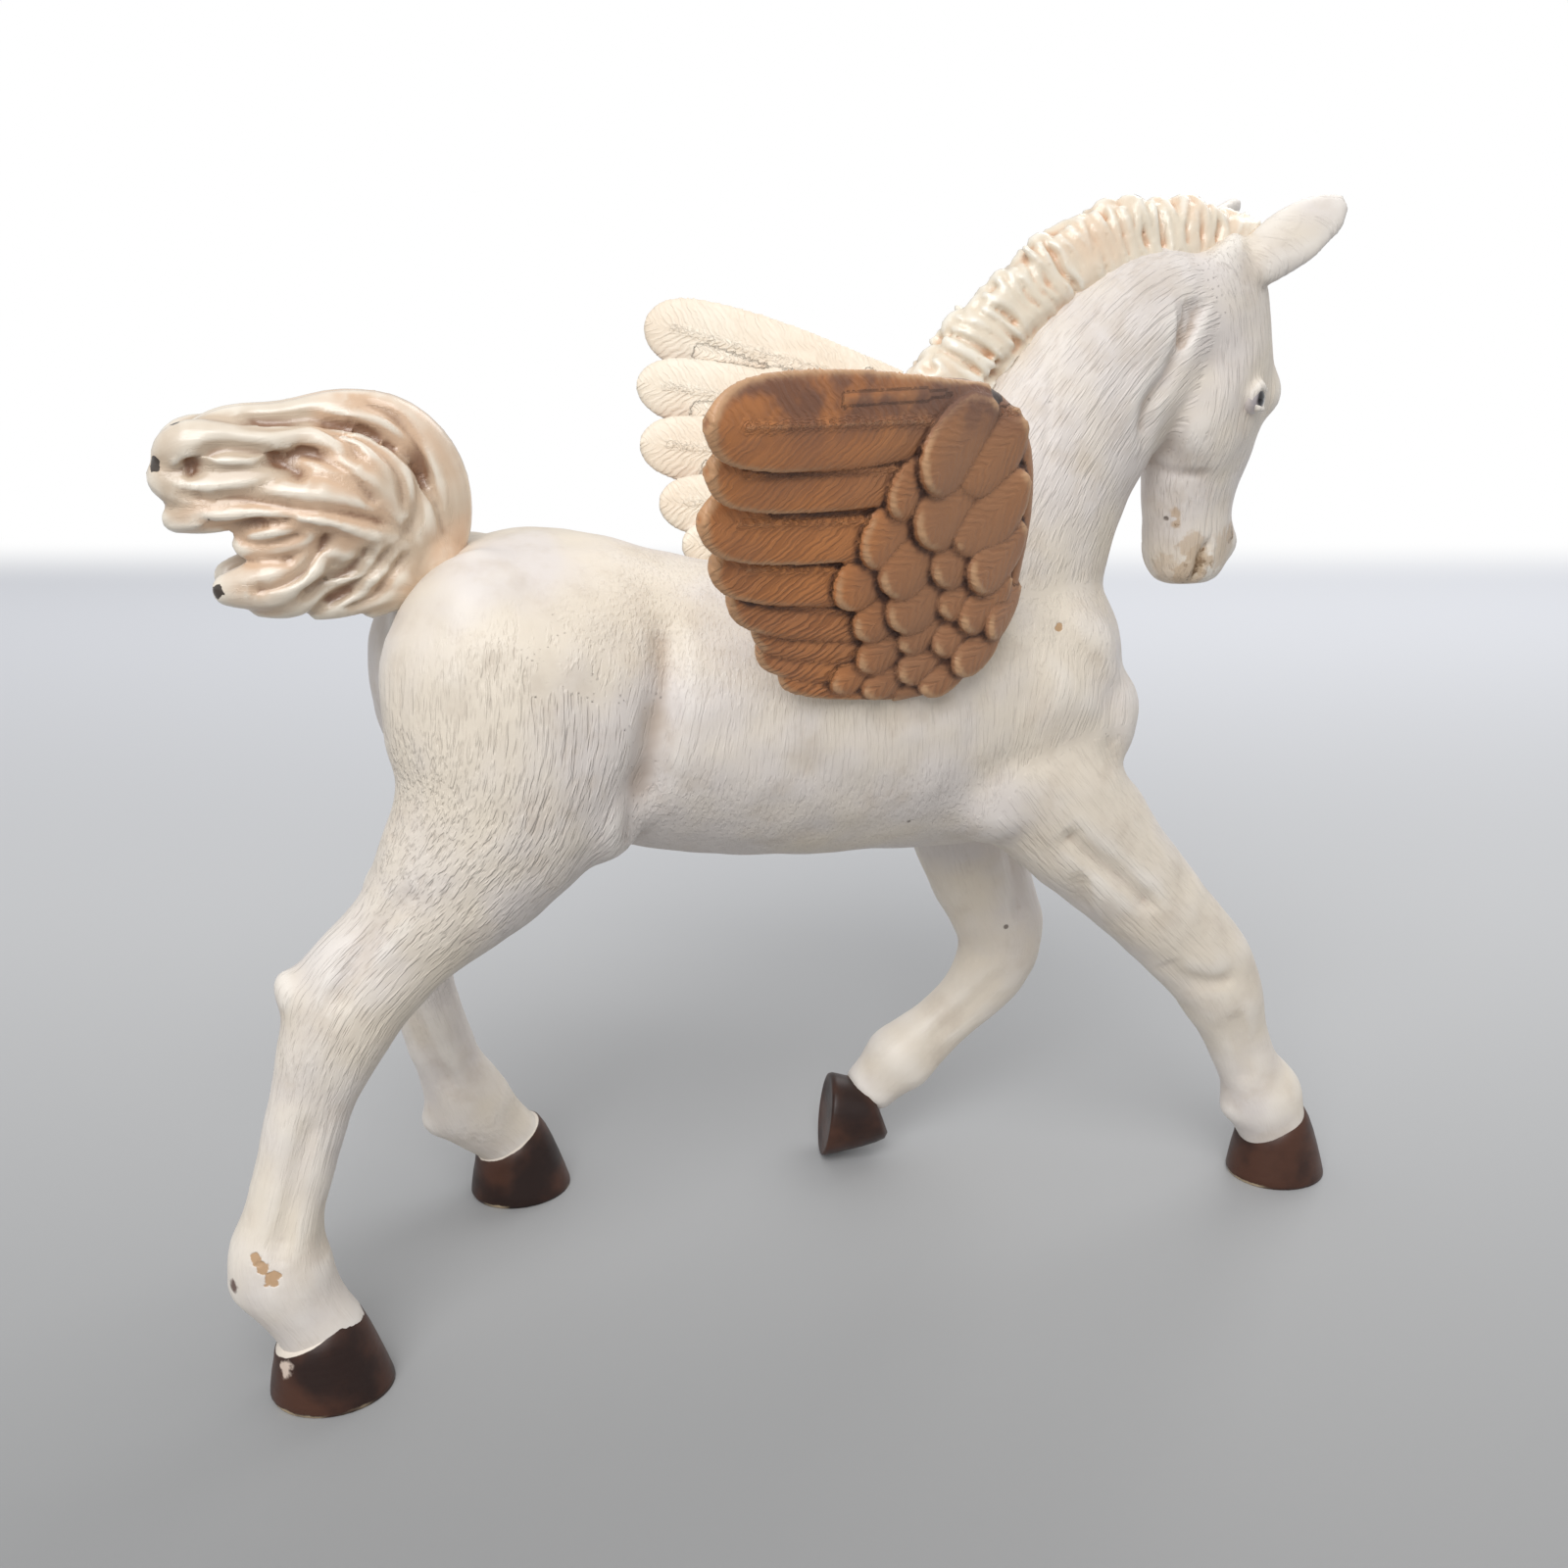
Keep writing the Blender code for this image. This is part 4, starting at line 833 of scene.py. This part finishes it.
for share in spacing:
    at = round(share * last)
    root = roots[at]
    out = tips[at] - root
    crest = (roots[min(at + 4, last)] - roots[max(at - 4, 0)]).normalized()
    reach = chance.uniform(0.88, 1.03) * MANE_HEIGHT
    lean = Vector((0, chance.uniform(-0.7, 0.4), 0)) + crest * chance.uniform(-0.5, 0.5)
    half = 1.85 * chance.uniform(0.76, 1.22)
    mane.loft((
        (*(root - out * 0.45), 1.2 * half, 2.0),
        (*(root + out * 0.1), 1.05 * half, 1.5),
        (*(root + out * 0.6 + lean * 0.5), 0.95 * half, 1.05),
        (*(root + out * 0.88 * reach + lean), 0.78 * half, 0.7),
        (*(root + out * reach + lean), 0.36 * half, 0.35),
    ), sides=14)
    for side in (-1, 1):
        for slot in STRAND_SLOTS:
            slide = crest * (slot + strand_chance.uniform(-0.3, 0.3))
            bend = crest * strand_chance.uniform(-0.5, 0.5)
            low = strand_chance.uniform(0.2, 0.5)
            high = strand_chance.uniform(0.78, 0.96) * reach
            face = Vector((0, side, 0))
            mane.loft((
                (*(root - out * low + slide * 0.7 + face * 1.5), 0.1, 0.1),
                (*(root - out * 0.1 + slide * 0.8 + face * 2.15), 0.3, 0.42),
                (*(root + out * 0.25 + slide + bend + face * 1.85), 0.40, 0.6),
                (*(root + out * 0.6 + slide + face * 1.4 + lean * 0.5), 0.40, 0.6),
                (*(root + out * high + slide - bend + face * 0.75 + lean), 0.3, 0.3),
            ), across=face, sides=8)
sheet = []
for root, edge in zip(MANE_ROOT, MANE_EDGE):
    out = Vector(edge) - Vector(root)
    sheet.append((*(Vector(root) + out * 0.28), 0.46 * out.length, 1.9))
mane.loft(sheet, sides=24, steps=8, grain=0.5)
mane_mesh = remeshed(mane.bm, voxel=0.25, relax=1)
settle(mane_mesh, mane, hollow_steps=10, seam_steps=4)
print("mane:", len(mane_mesh.vertices), "vertices from", len(mane.grain) - 1, "locks")

# %% [markdown]
# ## Tail
#
# The tail sweeps up from the dock and curls over backward in heavy wet-looking locks. Each lock is
# a loft along its own line, mirrored to the far side, with two thin strands laid on top. The deep
# wandering grooves of the carved master are pressed in after the locks are fused.

# %% Tail
TAIL_LOCKS = (
    ((13.2, -0.5, 65.2, 0.9), (14.5, -0.8, 69, 1.1), (13.9, -1, 73, 1.25), (11.4, -1.2, 76.2, 1.2),
     (7.6, -1.4, 77.3, 1), (3.2, -1.6, 76.8, 0.85), (-0.8, -1.8, 76.6, 0.8),
     (-3.4, -1.8, 76.2, 0.45)),
    ((12.6, -1.5, 65.4, 0.7), (12.4, -2.8, 69.4, 0.75), (10.6, -3.6, 72.8, 0.8),
     (7.6, -3.6, 75.2, 0.7), (4.2, -3.4, 75.9, 0.6), (0.4, -3.8, 75.2, 0.9), (-3.4, -3.4, 75.5, 1),
     (-5.3, -2.8, 74.6, 0.7)),
    ((12.3, -2, 66, 0.7), (11, -3.6, 70.2, 0.75), (7.8, -4.3, 73.1, 0.8), (3.6, -4, 73.5, 0.6),
     (-0.4, -4.2, 72.7, 0.75), (-3.8, -3.6, 72.5, 0.8), (-5.7, -2.8, 73.6, 0.7)),
    ((12, -1.8, 65.6, 0.8), (9.2, -3.8, 69.4, 1), (5.2, -4.6, 71.3, 1.15), (0.8, -4.2, 71.4, 0.9),
     (-3, -3.6, 70.9, 0.85), (-5.3, -3.2, 70.3, 0.5)),
    ((12, -1.8, 65.2, 0.8), (9, -3.8, 68.2, 0.85), (5, -4.6, 69.2, 0.7), (1.8, -4.4, 69, 0.85),
     (-0.6, -3.8, 68.3, 0.5)),
    ((12, -1.6, 64.8, 0.8), (8.6, -3.8, 67, 0.7), (5.2, -4.6, 68, 0.6), (3.4, -4.7, 66, 0.75),
     (1, -4.2, 65.4, 1), (-2.2, -3.6, 65, 0.6)),
    ((12.2, -1.6, 64.4, 0.8), (9, -3.4, 65.9, 0.9), (5.6, -3.6, 65.8, 0.7), (2.6, -3.8, 64.2, 0.75),
     (0, -3.4, 63.6, 0.4)),
    ((12.4, -1.4, 64.2, 0.8), (9.6, -3, 64.6, 0.75), (6.6, -3.2, 63.8, 0.7), (4.2, -3, 63, 0.4)),
    ((12.6, -1, 64.4, 0.8), (10.4, -2.4, 63.8, 0.6), (8.2, -2.6, 62.8, 0.4)))
# Each groove is a line seen from the side, its width and its depth
TAIL_GROOVES = (
    (((7.3, 79.1), (10.5, 77.9), (12.3, 75.6), (12.8, 72.8), (12.2, 70), (10.9, 68)), 0.6, 0.54),
    (((5.6, 77.4), (8.6, 76.2), (10.5, 74.2), (11.2, 72.3), (11.4, 69.7)), 0.5, 0.48),
    (((-0.6, 77.7), (2.4, 77.2), (5.2, 77.4), (7.2, 76), (8.6, 74)), 0.55, 0.54),
    (((-4.5, 73.9), (-3.4, 74.4), (-1.5, 75.5), (0.8, 75.3), (3.1, 74.2), (4.7, 73.1)), 0.7, 0.68),
    (((-5.2, 72.6), (-2.9, 71.8), (-0.3, 71.9), (2.9, 71.3), (6.1, 70.8), (8.8, 70.1), (11, 68.9)),
     0.6, 0.61),
    (((3, 75.4), (5.6, 74.6), (7.8, 73), (9.4, 70.8)), 0.5, 0.41),
    (((-3.9, 70.3), (-1.5, 69.8), (0.9, 70.1), (3.6, 70.3)), 0.5, 0.48),
    (((-1.3, 69.1), (0.2, 68.5), (2.1, 68.7), (4.1, 69.4)), 0.5, 0.48),
    (((-0.9, 65.1), (1.3, 65.3), (3.3, 66.4), (4.8, 68), (5.7, 69.4)), 0.6, 0.68),
    (((2.8, 64.1), (5.1, 65.4), (7.1, 66.4), (8.7, 68.1)), 0.5, 0.61),
    (((4.4, 63.4), (6.7, 64.7), (8.8, 66.4), (10.4, 68)), 0.5, 0.54),
    (((6, 62.9), (8.4, 64), (10.2, 66), (11.5, 67.4)), 0.5, 0.54))
TAIL_MIDDLE, TAIL_SHIFT = -0.4, -0.08
STRANDS_A_LOCK = 2
tail = Clay()
for side in (1, -1):
    for lock in TAIL_LOCKS:
        rows = [(x + TAIL_SHIFT, side * (y - TAIL_MIDDLE) + TAIL_MIDDLE, z, 2.0 * w, 1.7 * w)
                for x, y, z, w in lock]
        end, before = Vector(rows[-1][:3]), Vector(rows[-2][:3])
        tip = end + (end - before).normalized() * (1.3 * lock[-1][3])
        rows.append((*tip, 0.7 * lock[-1][3], 0.6 * lock[-1][3]))
        tail.loft(rows, sides=16, steps=4)
        for _ in range(STRANDS_A_LOCK):
            lean = strand_chance.uniform(-0.9, 0.9)
            strand = [(x + TAIL_SHIFT, side * (y - TAIL_MIDDLE - 1.35 * w) + TAIL_MIDDLE,
                       z + lean * w, 0.5 * w, 0.5 * w) for x, y, z, w in lock[1:]]
            tail.loft(strand, sides=8, steps=4)
tail.blob((6.4, -0.4, 70.6), (6.6, 3.2, 5.4), (0, -20, 0))
tail.blob((0.6, -0.4, 73.8), (4.6, 2.6, 2.6))
tail.blob((13.0, -0.4, 66.4), (3.0, 3.2, 3.4))
tail.blob((11.2, -0.4, 71.4), (2.2, 2.9, 4.6), (0, -14, 0))
tail_mesh = remeshed(tail.bm, voxel=0.27, relax=2)
for groove in TAIL_GROOVES:
    for view in (NEAR, FAR):
        carve(tail_mesh, view, *groove)
settle(tail_mesh, tail, hollow_steps=12, seam_steps=4)
print("tail:", len(tail_mesh.vertices), "vertices from", len(tail.grain) - 1, "locks")

# %% [markdown]
# The hair paint is glossier than the coat: a pearly cream over which a peach-brown wash was wiped
# so that it stayed in the grooves. Fine strands come from noise stretched along each lock, and the
# ridges carry a painted highlight. Small dark chips sit on the tips, where the paint has rubbed
# off.

# %% Hair paint
def hair_paint(name, cream, blush, wash_colour, highlight_colour, chips, wash_to):
    """The wash deepens from a flat place to a hollow of wash_to, and the ridges get a painted
    highlight.
    """
    paint = Paint(name, Coat_Weight=0.5, Coat_Roughness=0.18)
    hollow = paint.stored("hollow")
    strands = paint.cloud(paint.scaled(paint.stored("flow", "Vector"), (0.16, 1.8, 1.8)), 1.0)
    patches = paint.cloud(paint.place, 190.0)
    depth = hollow + (strands - 0.5) * 0.16 + (patches - 0.5) * 0.5
    warm = paint.ramp(paint.cloud(paint.place, 110.0), 0.42, 0.60)
    paint.colour = paint.mix(warm * 0.6, (*cream, 1), (*blush, 1))
    paint.cover(paint.ramp(depth, 0.0, wash_to), wash_colour)
    # Painted highlight: the ridges of each lock are painted in the highlight colour
    ridges = paint.ramp(hollow + (patches - 0.5) * 0.2, -0.02, -0.20)
    paint.cover(ridges * 0.85, highlight_colour)
    marks = paint.ramp(paint.spots(chips, 0.6), 0.4, 0.7)
    paint.cover(marks, (0.06, 0.045, 0.035))
    paint.finish(strands * 0.16 + 0.22, strands * 0.7 - marks, 0.08)
    return paint


MANE_CHIPS = (((74.4, 0.2, 94), 0.6), ((63, -2.5, 89), 0.3))
TAIL_CHIPS = (((-6, -3.6, 74.3), 0.7), ((-2.6, -4.2, 65), 0.7), ((-4.2, -3.2, 77), 0.6))
mane_paint = hair_paint("mane_paint", cream=(0.78, 0.68, 0.54), blush=(0.80, 0.56, 0.38),
                        wash_colour=(0.68, 0.43, 0.27), highlight_colour=(0.88, 0.83, 0.73),
                        chips=MANE_CHIPS, wash_to=0.24)
tail_paint = hair_paint("tail_paint", cream=(0.60, 0.48, 0.36), blush=(0.72, 0.46, 0.29),
                        wash_colour=(0.27, 0.145, 0.085), highlight_colour=(0.86, 0.79, 0.68),
                        chips=TAIL_CHIPS, wash_to=0.34)
show_piece("mane", mane_mesh, mane_paint)
show_piece("tail", tail_mesh, tail_paint)

# %% [markdown]
# ## Wings
#
# A wing is a fan of overlapping blades on a curved face, which leans out as it rises and flares
# towards the rear. Long flight feathers run from the bone to the rear edge. Rounded coverts lie
# over their roots like shingles, each tilted so that its free edge stands proud. Every feather
# is a loft too, so its flow gives the shaft line and the barbs.

# %% The curved face of a wing
# Height of the root, its gap from the middle plane, lean, where the flare starts, flare and growth
NEAR_FACE = (57, 13.4, 0.25, 53, 0.03, 0.0197)
FAR_FACE = (59, 12.6, 0.26, 58, 0.06, 0.012)


def on_face(face, side, x, z, out=0.0):
    """The point of a wing's face at x and z, moved out from it."""
    low, gap, lean, front, flare, growth = face
    y = gap + lean * (z - low) + out
    if x < front:
        y += (flare + growth * (z - low)) * (front - x)
    else:
        y -= 0.09 * (x - front) ** 2
    return Vector((x, side * y, z))


def face_out(face, side, x, z):
    """The way straight out of a wing's face."""
    along = on_face(face, side, x + 1, z) - on_face(face, side, x - 1, z)
    up = on_face(face, side, x, z + 1) - on_face(face, side, x, z - 1)
    out = along.cross(up).normalized()
    return out if out.y * side > 0 else -out


def blade(clay, face, side, feather, thick, inset=0.0, roll=0.0, grain=1.0):
    """A vane on the wing's face, from its root to its rounded tip, in half its width."""
    root_x, root_z, tip_x, tip_z, width = feather
    rows = []
    for t, share in LONG_VANE:
        x = root_x + (tip_x - root_x) * t
        z = root_z + (tip_z - root_z) * t
        rows.append((*on_face(face, side, x, z, -inset), 0.56 * width * share, 0.5 * thick))
    out = face_out(face, side, (root_x + tip_x) / 2, (root_z + tip_z) / 2)
    clay.loft(rows, across=out, roll=-side * roll, grain=grain)
    return rows, out


print("wing face ready")

# %% [markdown]
# The numbers of each feather are its root, its tip and its width. The near wing is the one that
# the photograph shows from outside, with eight flight feathers and about two dozen coverts. The
# far wing has the same coverts outside, where they are hidden. It shows its inner side, which is
# bare but for one oval.

# %% Feathers of both wings
NEAR_FLIGHT = (
    (52, 77.6, 28, 78.2, 6.2), (53.4, 74.2, 28.7, 75, 5.8), (54.4, 70, 28.8, 71.5, 6.2),
    (54.4, 65.6, 30.3, 68.1, 5.6), (53, 61.8, 32.3, 65.2, 5), (51.2, 59.6, 34.7, 62.6, 4.2),
    (49.6, 57.8, 35.4, 60.7, 4), (47.6, 56.4, 37.6, 58.6, 3.6))
FAR_FLIGHT = (
    (59.6, 76.9, 37.4, 83.8, 6.6), (59.8, 73.6, 35.9, 78.3, 6), (59.6, 69.6, 35.4, 72.9, 6),
    (58.8, 65.8, 36.4, 67.6, 5.6), (57.4, 62.4, 38, 63.9, 5), (55.6, 60, 40.4, 61.2, 4.4),
    (54, 58.2, 42.2, 59.2, 4), (52.2, 56.8, 43.8, 57.8, 3.6))
NEAR_BONE = (
    (47.6, 56.2), (52.6, 57.2), (56, 61), (57.2, 66), (57.2, 71.4), (55.4, 76), (51.6, 78.8),
    (45.6, 79.4), (38, 79.4))
FAR_BONE = (
    (52, 57), (56.6, 58.2), (60.4, 62), (61.6, 67), (61.6, 72.4), (59.8, 76.4), (56.2, 78.6))
COVERTS = (
    (49.6, 76.1, 3.4), (53.2, 75, 2.9), (46.5, 73.5, 2.6), (50.2, 72, 3.5), (53.8, 70.7, 3.2),
    (45.3, 70.1, 2.9), (47.8, 68, 3.3), (51.9, 68, 2.9), (55, 67, 2.7), (43.6, 66.6, 2.7),
    (48.9, 64.6, 3), (52.9, 64.8, 2.6), (45.6, 63.4, 2.4), (49.4, 61.6, 2.1), (54.5, 63.2, 2.3),
    (52.6, 61.2, 2.2), (46.2, 60.2, 2.1), (49.8, 58.8, 2), (44, 58.2, 1.8), (46.8, 57.4, 1.8),
    (54.4, 59.2, 2.1), (56.5, 62.2, 2.1), (51.8, 57.3, 1.9))
LONG_VANE = ((0, 0.7), (0.25, 0.86), (0.5, 1), (0.75, 1), (0.9, 0.84), (0.97, 0.55), (1, 0.2))
ROUND_VANE = (
    (0, 0.2), (0.08, 0.52), (0.22, 0.84), (0.45, 1), (0.7, 0.96), (0.88, 0.7), (0.97, 0.36),
    (1, 0.1))
BLADE_ROLL = math.radians(13)
FAR_AHEAD, FAR_ABOVE = 4.6, 0.6


def covert(clay, face, side, x, z, radius):
    """A rounded shingle whose rear lower edge stands off the one behind."""
    out = face_out(face, side, x, z)
    lie = Vector((-0.82, 0, -0.57))
    lie = (lie - out * lie.dot(out)).normalized()
    rows = []
    for t, share in ROUND_VANE:
        middle = on_face(face, side, x, z, 0.1) + lie * (radius * (2.5 * t - 1.15))
        middle += out * (radius * 0.36 * t)
        rows.append((*middle, 0.98 * radius * share, 0.62 - 0.18 * t))
    clay.loft(rows, across=out, grain=0.75 - 0.17 * radius)


def wing(face, side, flight, bone, coverts):
    """A wing's forms: blades that fill the gaps, flight feathers with shafts, bone and coverts."""
    clay = Clay()
    for upper, lower in zip(flight, flight[1:]):
        between = [(a + b) / 2 for a, b in zip(upper, lower)]
        between[0] += 2.4
        between[2] += 5.0
        blade(clay, face, side, between, 1.5, -0.35 * side)
    for order, feather in enumerate(flight):
        grain = min(0.3 + 0.14 * order, 1.0) if side < 0 else 0.5
        rows, out = blade(clay, face, side, feather, 1.22, 0.03, BLADE_ROLL, grain)
        for way in (-1, 1):
            shaft = [(*(Vector(row[:3]) + out * (way * 0.53)), 0.22, 0.22) for row in rows[:-2]]
            clay.loft(shaft, across=out, sides=8)
    rows = []
    for i, (x, z) in enumerate(bone):
        half = 1.5 * (1.0 - 0.04 * i)
        rows.append((*on_face(face, side, x, z, -0.87), half, half))
    clay.loft(rows, across=face_out(face, side, *bone[len(bone) // 2]), sides=16, grain=0.1)
    for x, z, radius in coverts:
        covert(clay, face, side, x, z, radius)
    return clay


near_wing = wing(NEAR_FACE, -1, NEAR_FLIGHT, NEAR_BONE, COVERTS)
far_coverts = [(x + FAR_AHEAD, z + FAR_ABOVE, radius) for x, z, radius in COVERTS]
far_wing = wing(FAR_FACE, 1, FAR_FLIGHT, FAR_BONE, far_coverts)
far_wing.blob(on_face(FAR_FACE, 1, 50.4, 79.3, -0.6), (3.0, 0.55, 1.8), (-15, 8, -17))
near_mesh = remeshed(near_wing.bm, voxel=0.23, relax=1)
far_mesh = remeshed(far_wing.bm, voxel=0.25, relax=1)
for mesh, clay in ((near_mesh, near_wing), (far_mesh, far_wing)):
    settle(mesh, clay, hollow_steps=8, seam_steps=2)
print("wings:", len(near_mesh.vertices), "and", len(far_mesh.vertices), "vertices")

# %% [markdown]
# The wings are bronze outside and pearly cream inside, and the way a point faces tells which
# side it is on. Barbs slant back from each shaft, so the bump is a noise stretched along that
# slant, with a faint wave in it. The raised edges carry a painted tan highlight, the recesses a
# dark wash that is also painted shade, and the top edge is dusky.

# %% Feather paint
def feather_paint(name, chips, lift, outside, turn):
    """Bronze on the outer face and cream on the inner one, which faces -outside along Y.

    Chips are dark, and the bronze has rubbed off in the spots of lift. A point that faces
    outwards by less than turn is cream."""
    paint = Paint(name, Coat_Weight=0.12, Coat_Roughness=0.3, Specular_IOR_Level=0.4)
    flow = paint.stored("flow", "Vector")
    hollow = paint.stored("hollow")
    grain = paint.stored("grain")
    along = paint.axis(flow, 0)
    across = paint.axis(flow, 1)
    from_shaft = paint.node("Math", {"operation": "ABSOLUTE"}, {0: across})
    wander = (paint.cloud(paint.scaled(flow, (0.35, 0.8, 1.0)), 1.0) - 0.5) * 1.6
    slant = from_shaft * 0.95 - along + wander
    barb_place = paint.node("CombineXYZ", None, {0: slant * 1.7, 1: across * 0.4, 2: grain * 9.0})
    wave = paint.node("Math", {"operation": "SINE"}, {0: slant * 8.4})
    barbs = paint.ramp(paint.cloud(barb_place, 1.0) + wave * 0.09, 0.34, 0.66)
    fuzz = paint.cloud(paint.scaled(flow, (2.0, 2.0, 2.0)), 1.0, 3.0)
    facing = paint.axis(paint.node("NewGeometry", output="Normal"), 1)
    inner = paint.ramp(facing * outside, turn + 0.05, turn - 0.05)
    patches = paint.ramp(paint.cloud(paint.place, 120.0, 3.0), 0.35, 0.65)
    recess = hollow + (fuzz - 0.5) * 0.05
    shade = (1.0 - barbs) * grain

    ahead = paint.axis(paint.place, 0)
    above = paint.axis(paint.place, 2)
    paint.colour = paint.mix(patches, (0.62, 0.240, 0.078, 1), (0.48, 0.198, 0.082, 1))
    paint.cover(paint.ramp(ahead, -0.008, 0.003) * 0.7, (0.34, 0.180, 0.098))
    smoke = paint.ramp(paint.cloud(paint.place, 260.0, 3.0), 0.38, 0.56)
    dusk = paint.ramp(above, 0.0745, 0.0790) * smoke
    paint.cover(dusk * 0.75, (0.150, 0.085, 0.070))
    paint.cover(shade * 0.6, (0.240, 0.084, 0.030))
    # Wash and painted shade: the recesses are painted near black, partly a dark wash and partly the
    # contact shadow where one feather lies on the next
    paint.cover(paint.ramp(recess, 0.0, 0.11), (0.075, 0.027, 0.013))
    # Painted highlight: the raised edges of the feathers are painted tan
    paint.cover(paint.ramp(recess, -0.025, -0.11) * 0.7, (0.62, 0.38, 0.21))
    cream = paint.mix(patches, (0.88, 0.79, 0.66, 1), (0.86, 0.74, 0.60, 1))
    cream = paint.mix(shade * 0.18, cream, (0.66, 0.48, 0.32, 1))
    # Wash and painted shade on the cream side: its recesses are painted darker
    cream = paint.mix(paint.ramp(recess, 0.02, 0.16) * 0.5, cream, (0.66, 0.45, 0.30, 1))
    paint.colour = paint.mix(inner, paint.colour, cream)
    marks = paint.ramp(paint.spots(chips, 0.6), 0.4, 0.7)
    paint.cover(marks, (0.05, 0.032, 0.026))
    bare = paint.ramp(paint.spots(lift, 0.7), 0.2, 0.9)
    paint.cover(bare * 0.7, (0.46, 0.36, 0.27))
    paint.finish(fuzz * 0.2 + 0.36, barbs * grain * 0.9 + fuzz * 0.2, 0.12)
    return paint


NEAR_CHIPS = (((31.4, -22.6, 66), 0.5), ((53, -19, 79), 0.9), ((30.6, -30, 80.6), 0.5))
FAR_CHIPS = (((35.4, 21, 67), 0.6), ((37, 24, 71), 0.3))
NEAR_LIFT = (((28.6, -26, 78.4), 2), ((40, -22, 79.6), 1.2))
FAR_LIFT = (((48, 22, 76), 0.8),)
near_paint = feather_paint("near_feather_paint", NEAR_CHIPS, NEAR_LIFT, outside=-1.0, turn=0.0)
far_paint = feather_paint("far_feather_paint", FAR_CHIPS, FAR_LIFT, outside=1.0, turn=0.35)
show_piece("near_wing", near_mesh, near_paint)
show_piece("far_wing", far_mesh, far_paint)

# %% [markdown]
# ## Table, wall and light
#
# The figurine stood on a pale blue-grey table before a white wall. The table is painted darker
# close to the camera and lighter further off, as painted light from the window behind and its
# glancing reflection, and it fades into the wall half a metre away. One plane with a blended
# colour does that, and the world shows white only to the camera.

# %% Floor and background
bm = bmesh.new()
bmesh.ops.create_grid(bm, x_segments=8, y_segments=8, size=3.0)
floor_mesh = mesh_from(bm, "table")
bm.free()
floor = add_object("table", floor_mesh)
table = Paint("table_paint", Roughness=0.55, Specular_IOR_Level=0.25)
away = (math.sin(camera_turn), math.cos(camera_turn), 0)
depth = table.node("VectorMath", {"operation": "DOT_PRODUCT"}, {0: table.place, 1: away},
                   output="Value")
NEAR_SHADED_TONE, MIDDLE_TONE = (0.25, 0.25, 0.25, 1), (0.53, 0.533, 0.54, 1)
FAR_LIT_TONE = (0.80, 0.81, 0.85, 1)
# Painted light: the table's colour runs from a shaded near tone to a lit far tone, standing in for
# the window light that falls at the back
painted_light_tone = table.mix(table.ramp(depth, -0.11, 0.10), NEAR_SHADED_TONE, MIDDLE_TONE)
painted_light_tone = table.mix(table.ramp(depth, 0.03, 0.34), painted_light_tone, FAR_LIT_TONE)
table.feed(table.shader.inputs["Base Color"], painted_light_tone)
glow = table.node("Emission", None, {"Color": (1, 1, 1, 1), "Strength": 1.0})
wall = table.ramp(depth, 0.36, 0.46)
shown = table.node("MixShader", None, {0: wall, 1: Wire(table, table.shader.outputs[0]), 2: glow})
output = table.tree.nodes["Material Output"]
table.tree.links.new(shown.socket, output.inputs["Surface"])
floor_mesh.materials.append(table.material)
print("table and wall")

# %% [markdown]
# The light is a bright cloudy window: a large soft lamp high in front, a little to the left, a
# weaker one from behind on the right, and a plain sky of middling strength. Large lamps give the
# long soft highlights that show the gloss of the hair paint.

# %% Lights
world = bpy.data.worlds.new("room")
bpy.context.scene.world = world
world.use_nodes = True
sky = world.node_tree.nodes["Background"]
sky.inputs["Color"].default_value = (0.97, 0.985, 1.0, 1)
sky.inputs["Strength"].default_value = 0.58
backdrop = world.node_tree.nodes.new("ShaderNodeBackground")
backdrop.inputs["Color"].default_value = (1, 1, 1, 1)
path = world.node_tree.nodes.new("ShaderNodeLightPath")
choice = world.node_tree.nodes.new("ShaderNodeMixShader")
surface = world.node_tree.nodes["World Output"].inputs["Surface"]
for output, socket in ((path.outputs["Is Camera Ray"], choice.inputs[0]),
                       (sky.outputs[0], choice.inputs[1]), (backdrop.outputs[0], choice.inputs[2]),
                       (choice.outputs[0], surface)):
    world.node_tree.links.new(output, socket)


def window(name, place, size, power):
    """A square lamp that looks at the middle of the figurine."""
    data = bpy.data.lights.new(name, "AREA")
    data.size = size
    data.energy = power
    lamp = add_object(name, data)
    lamp.location = place
    lamp.rotation_euler = (Vector((0, 0, 0.05)) - Vector(place)).to_track_quat("-Z", "Y").to_euler()


window("window_front", (-0.20, -0.36, 0.44), 0.40, 2.5)
window("window_behind", (0.40, 0.30, 0.50), 0.40, 1.0)
print("lights set")
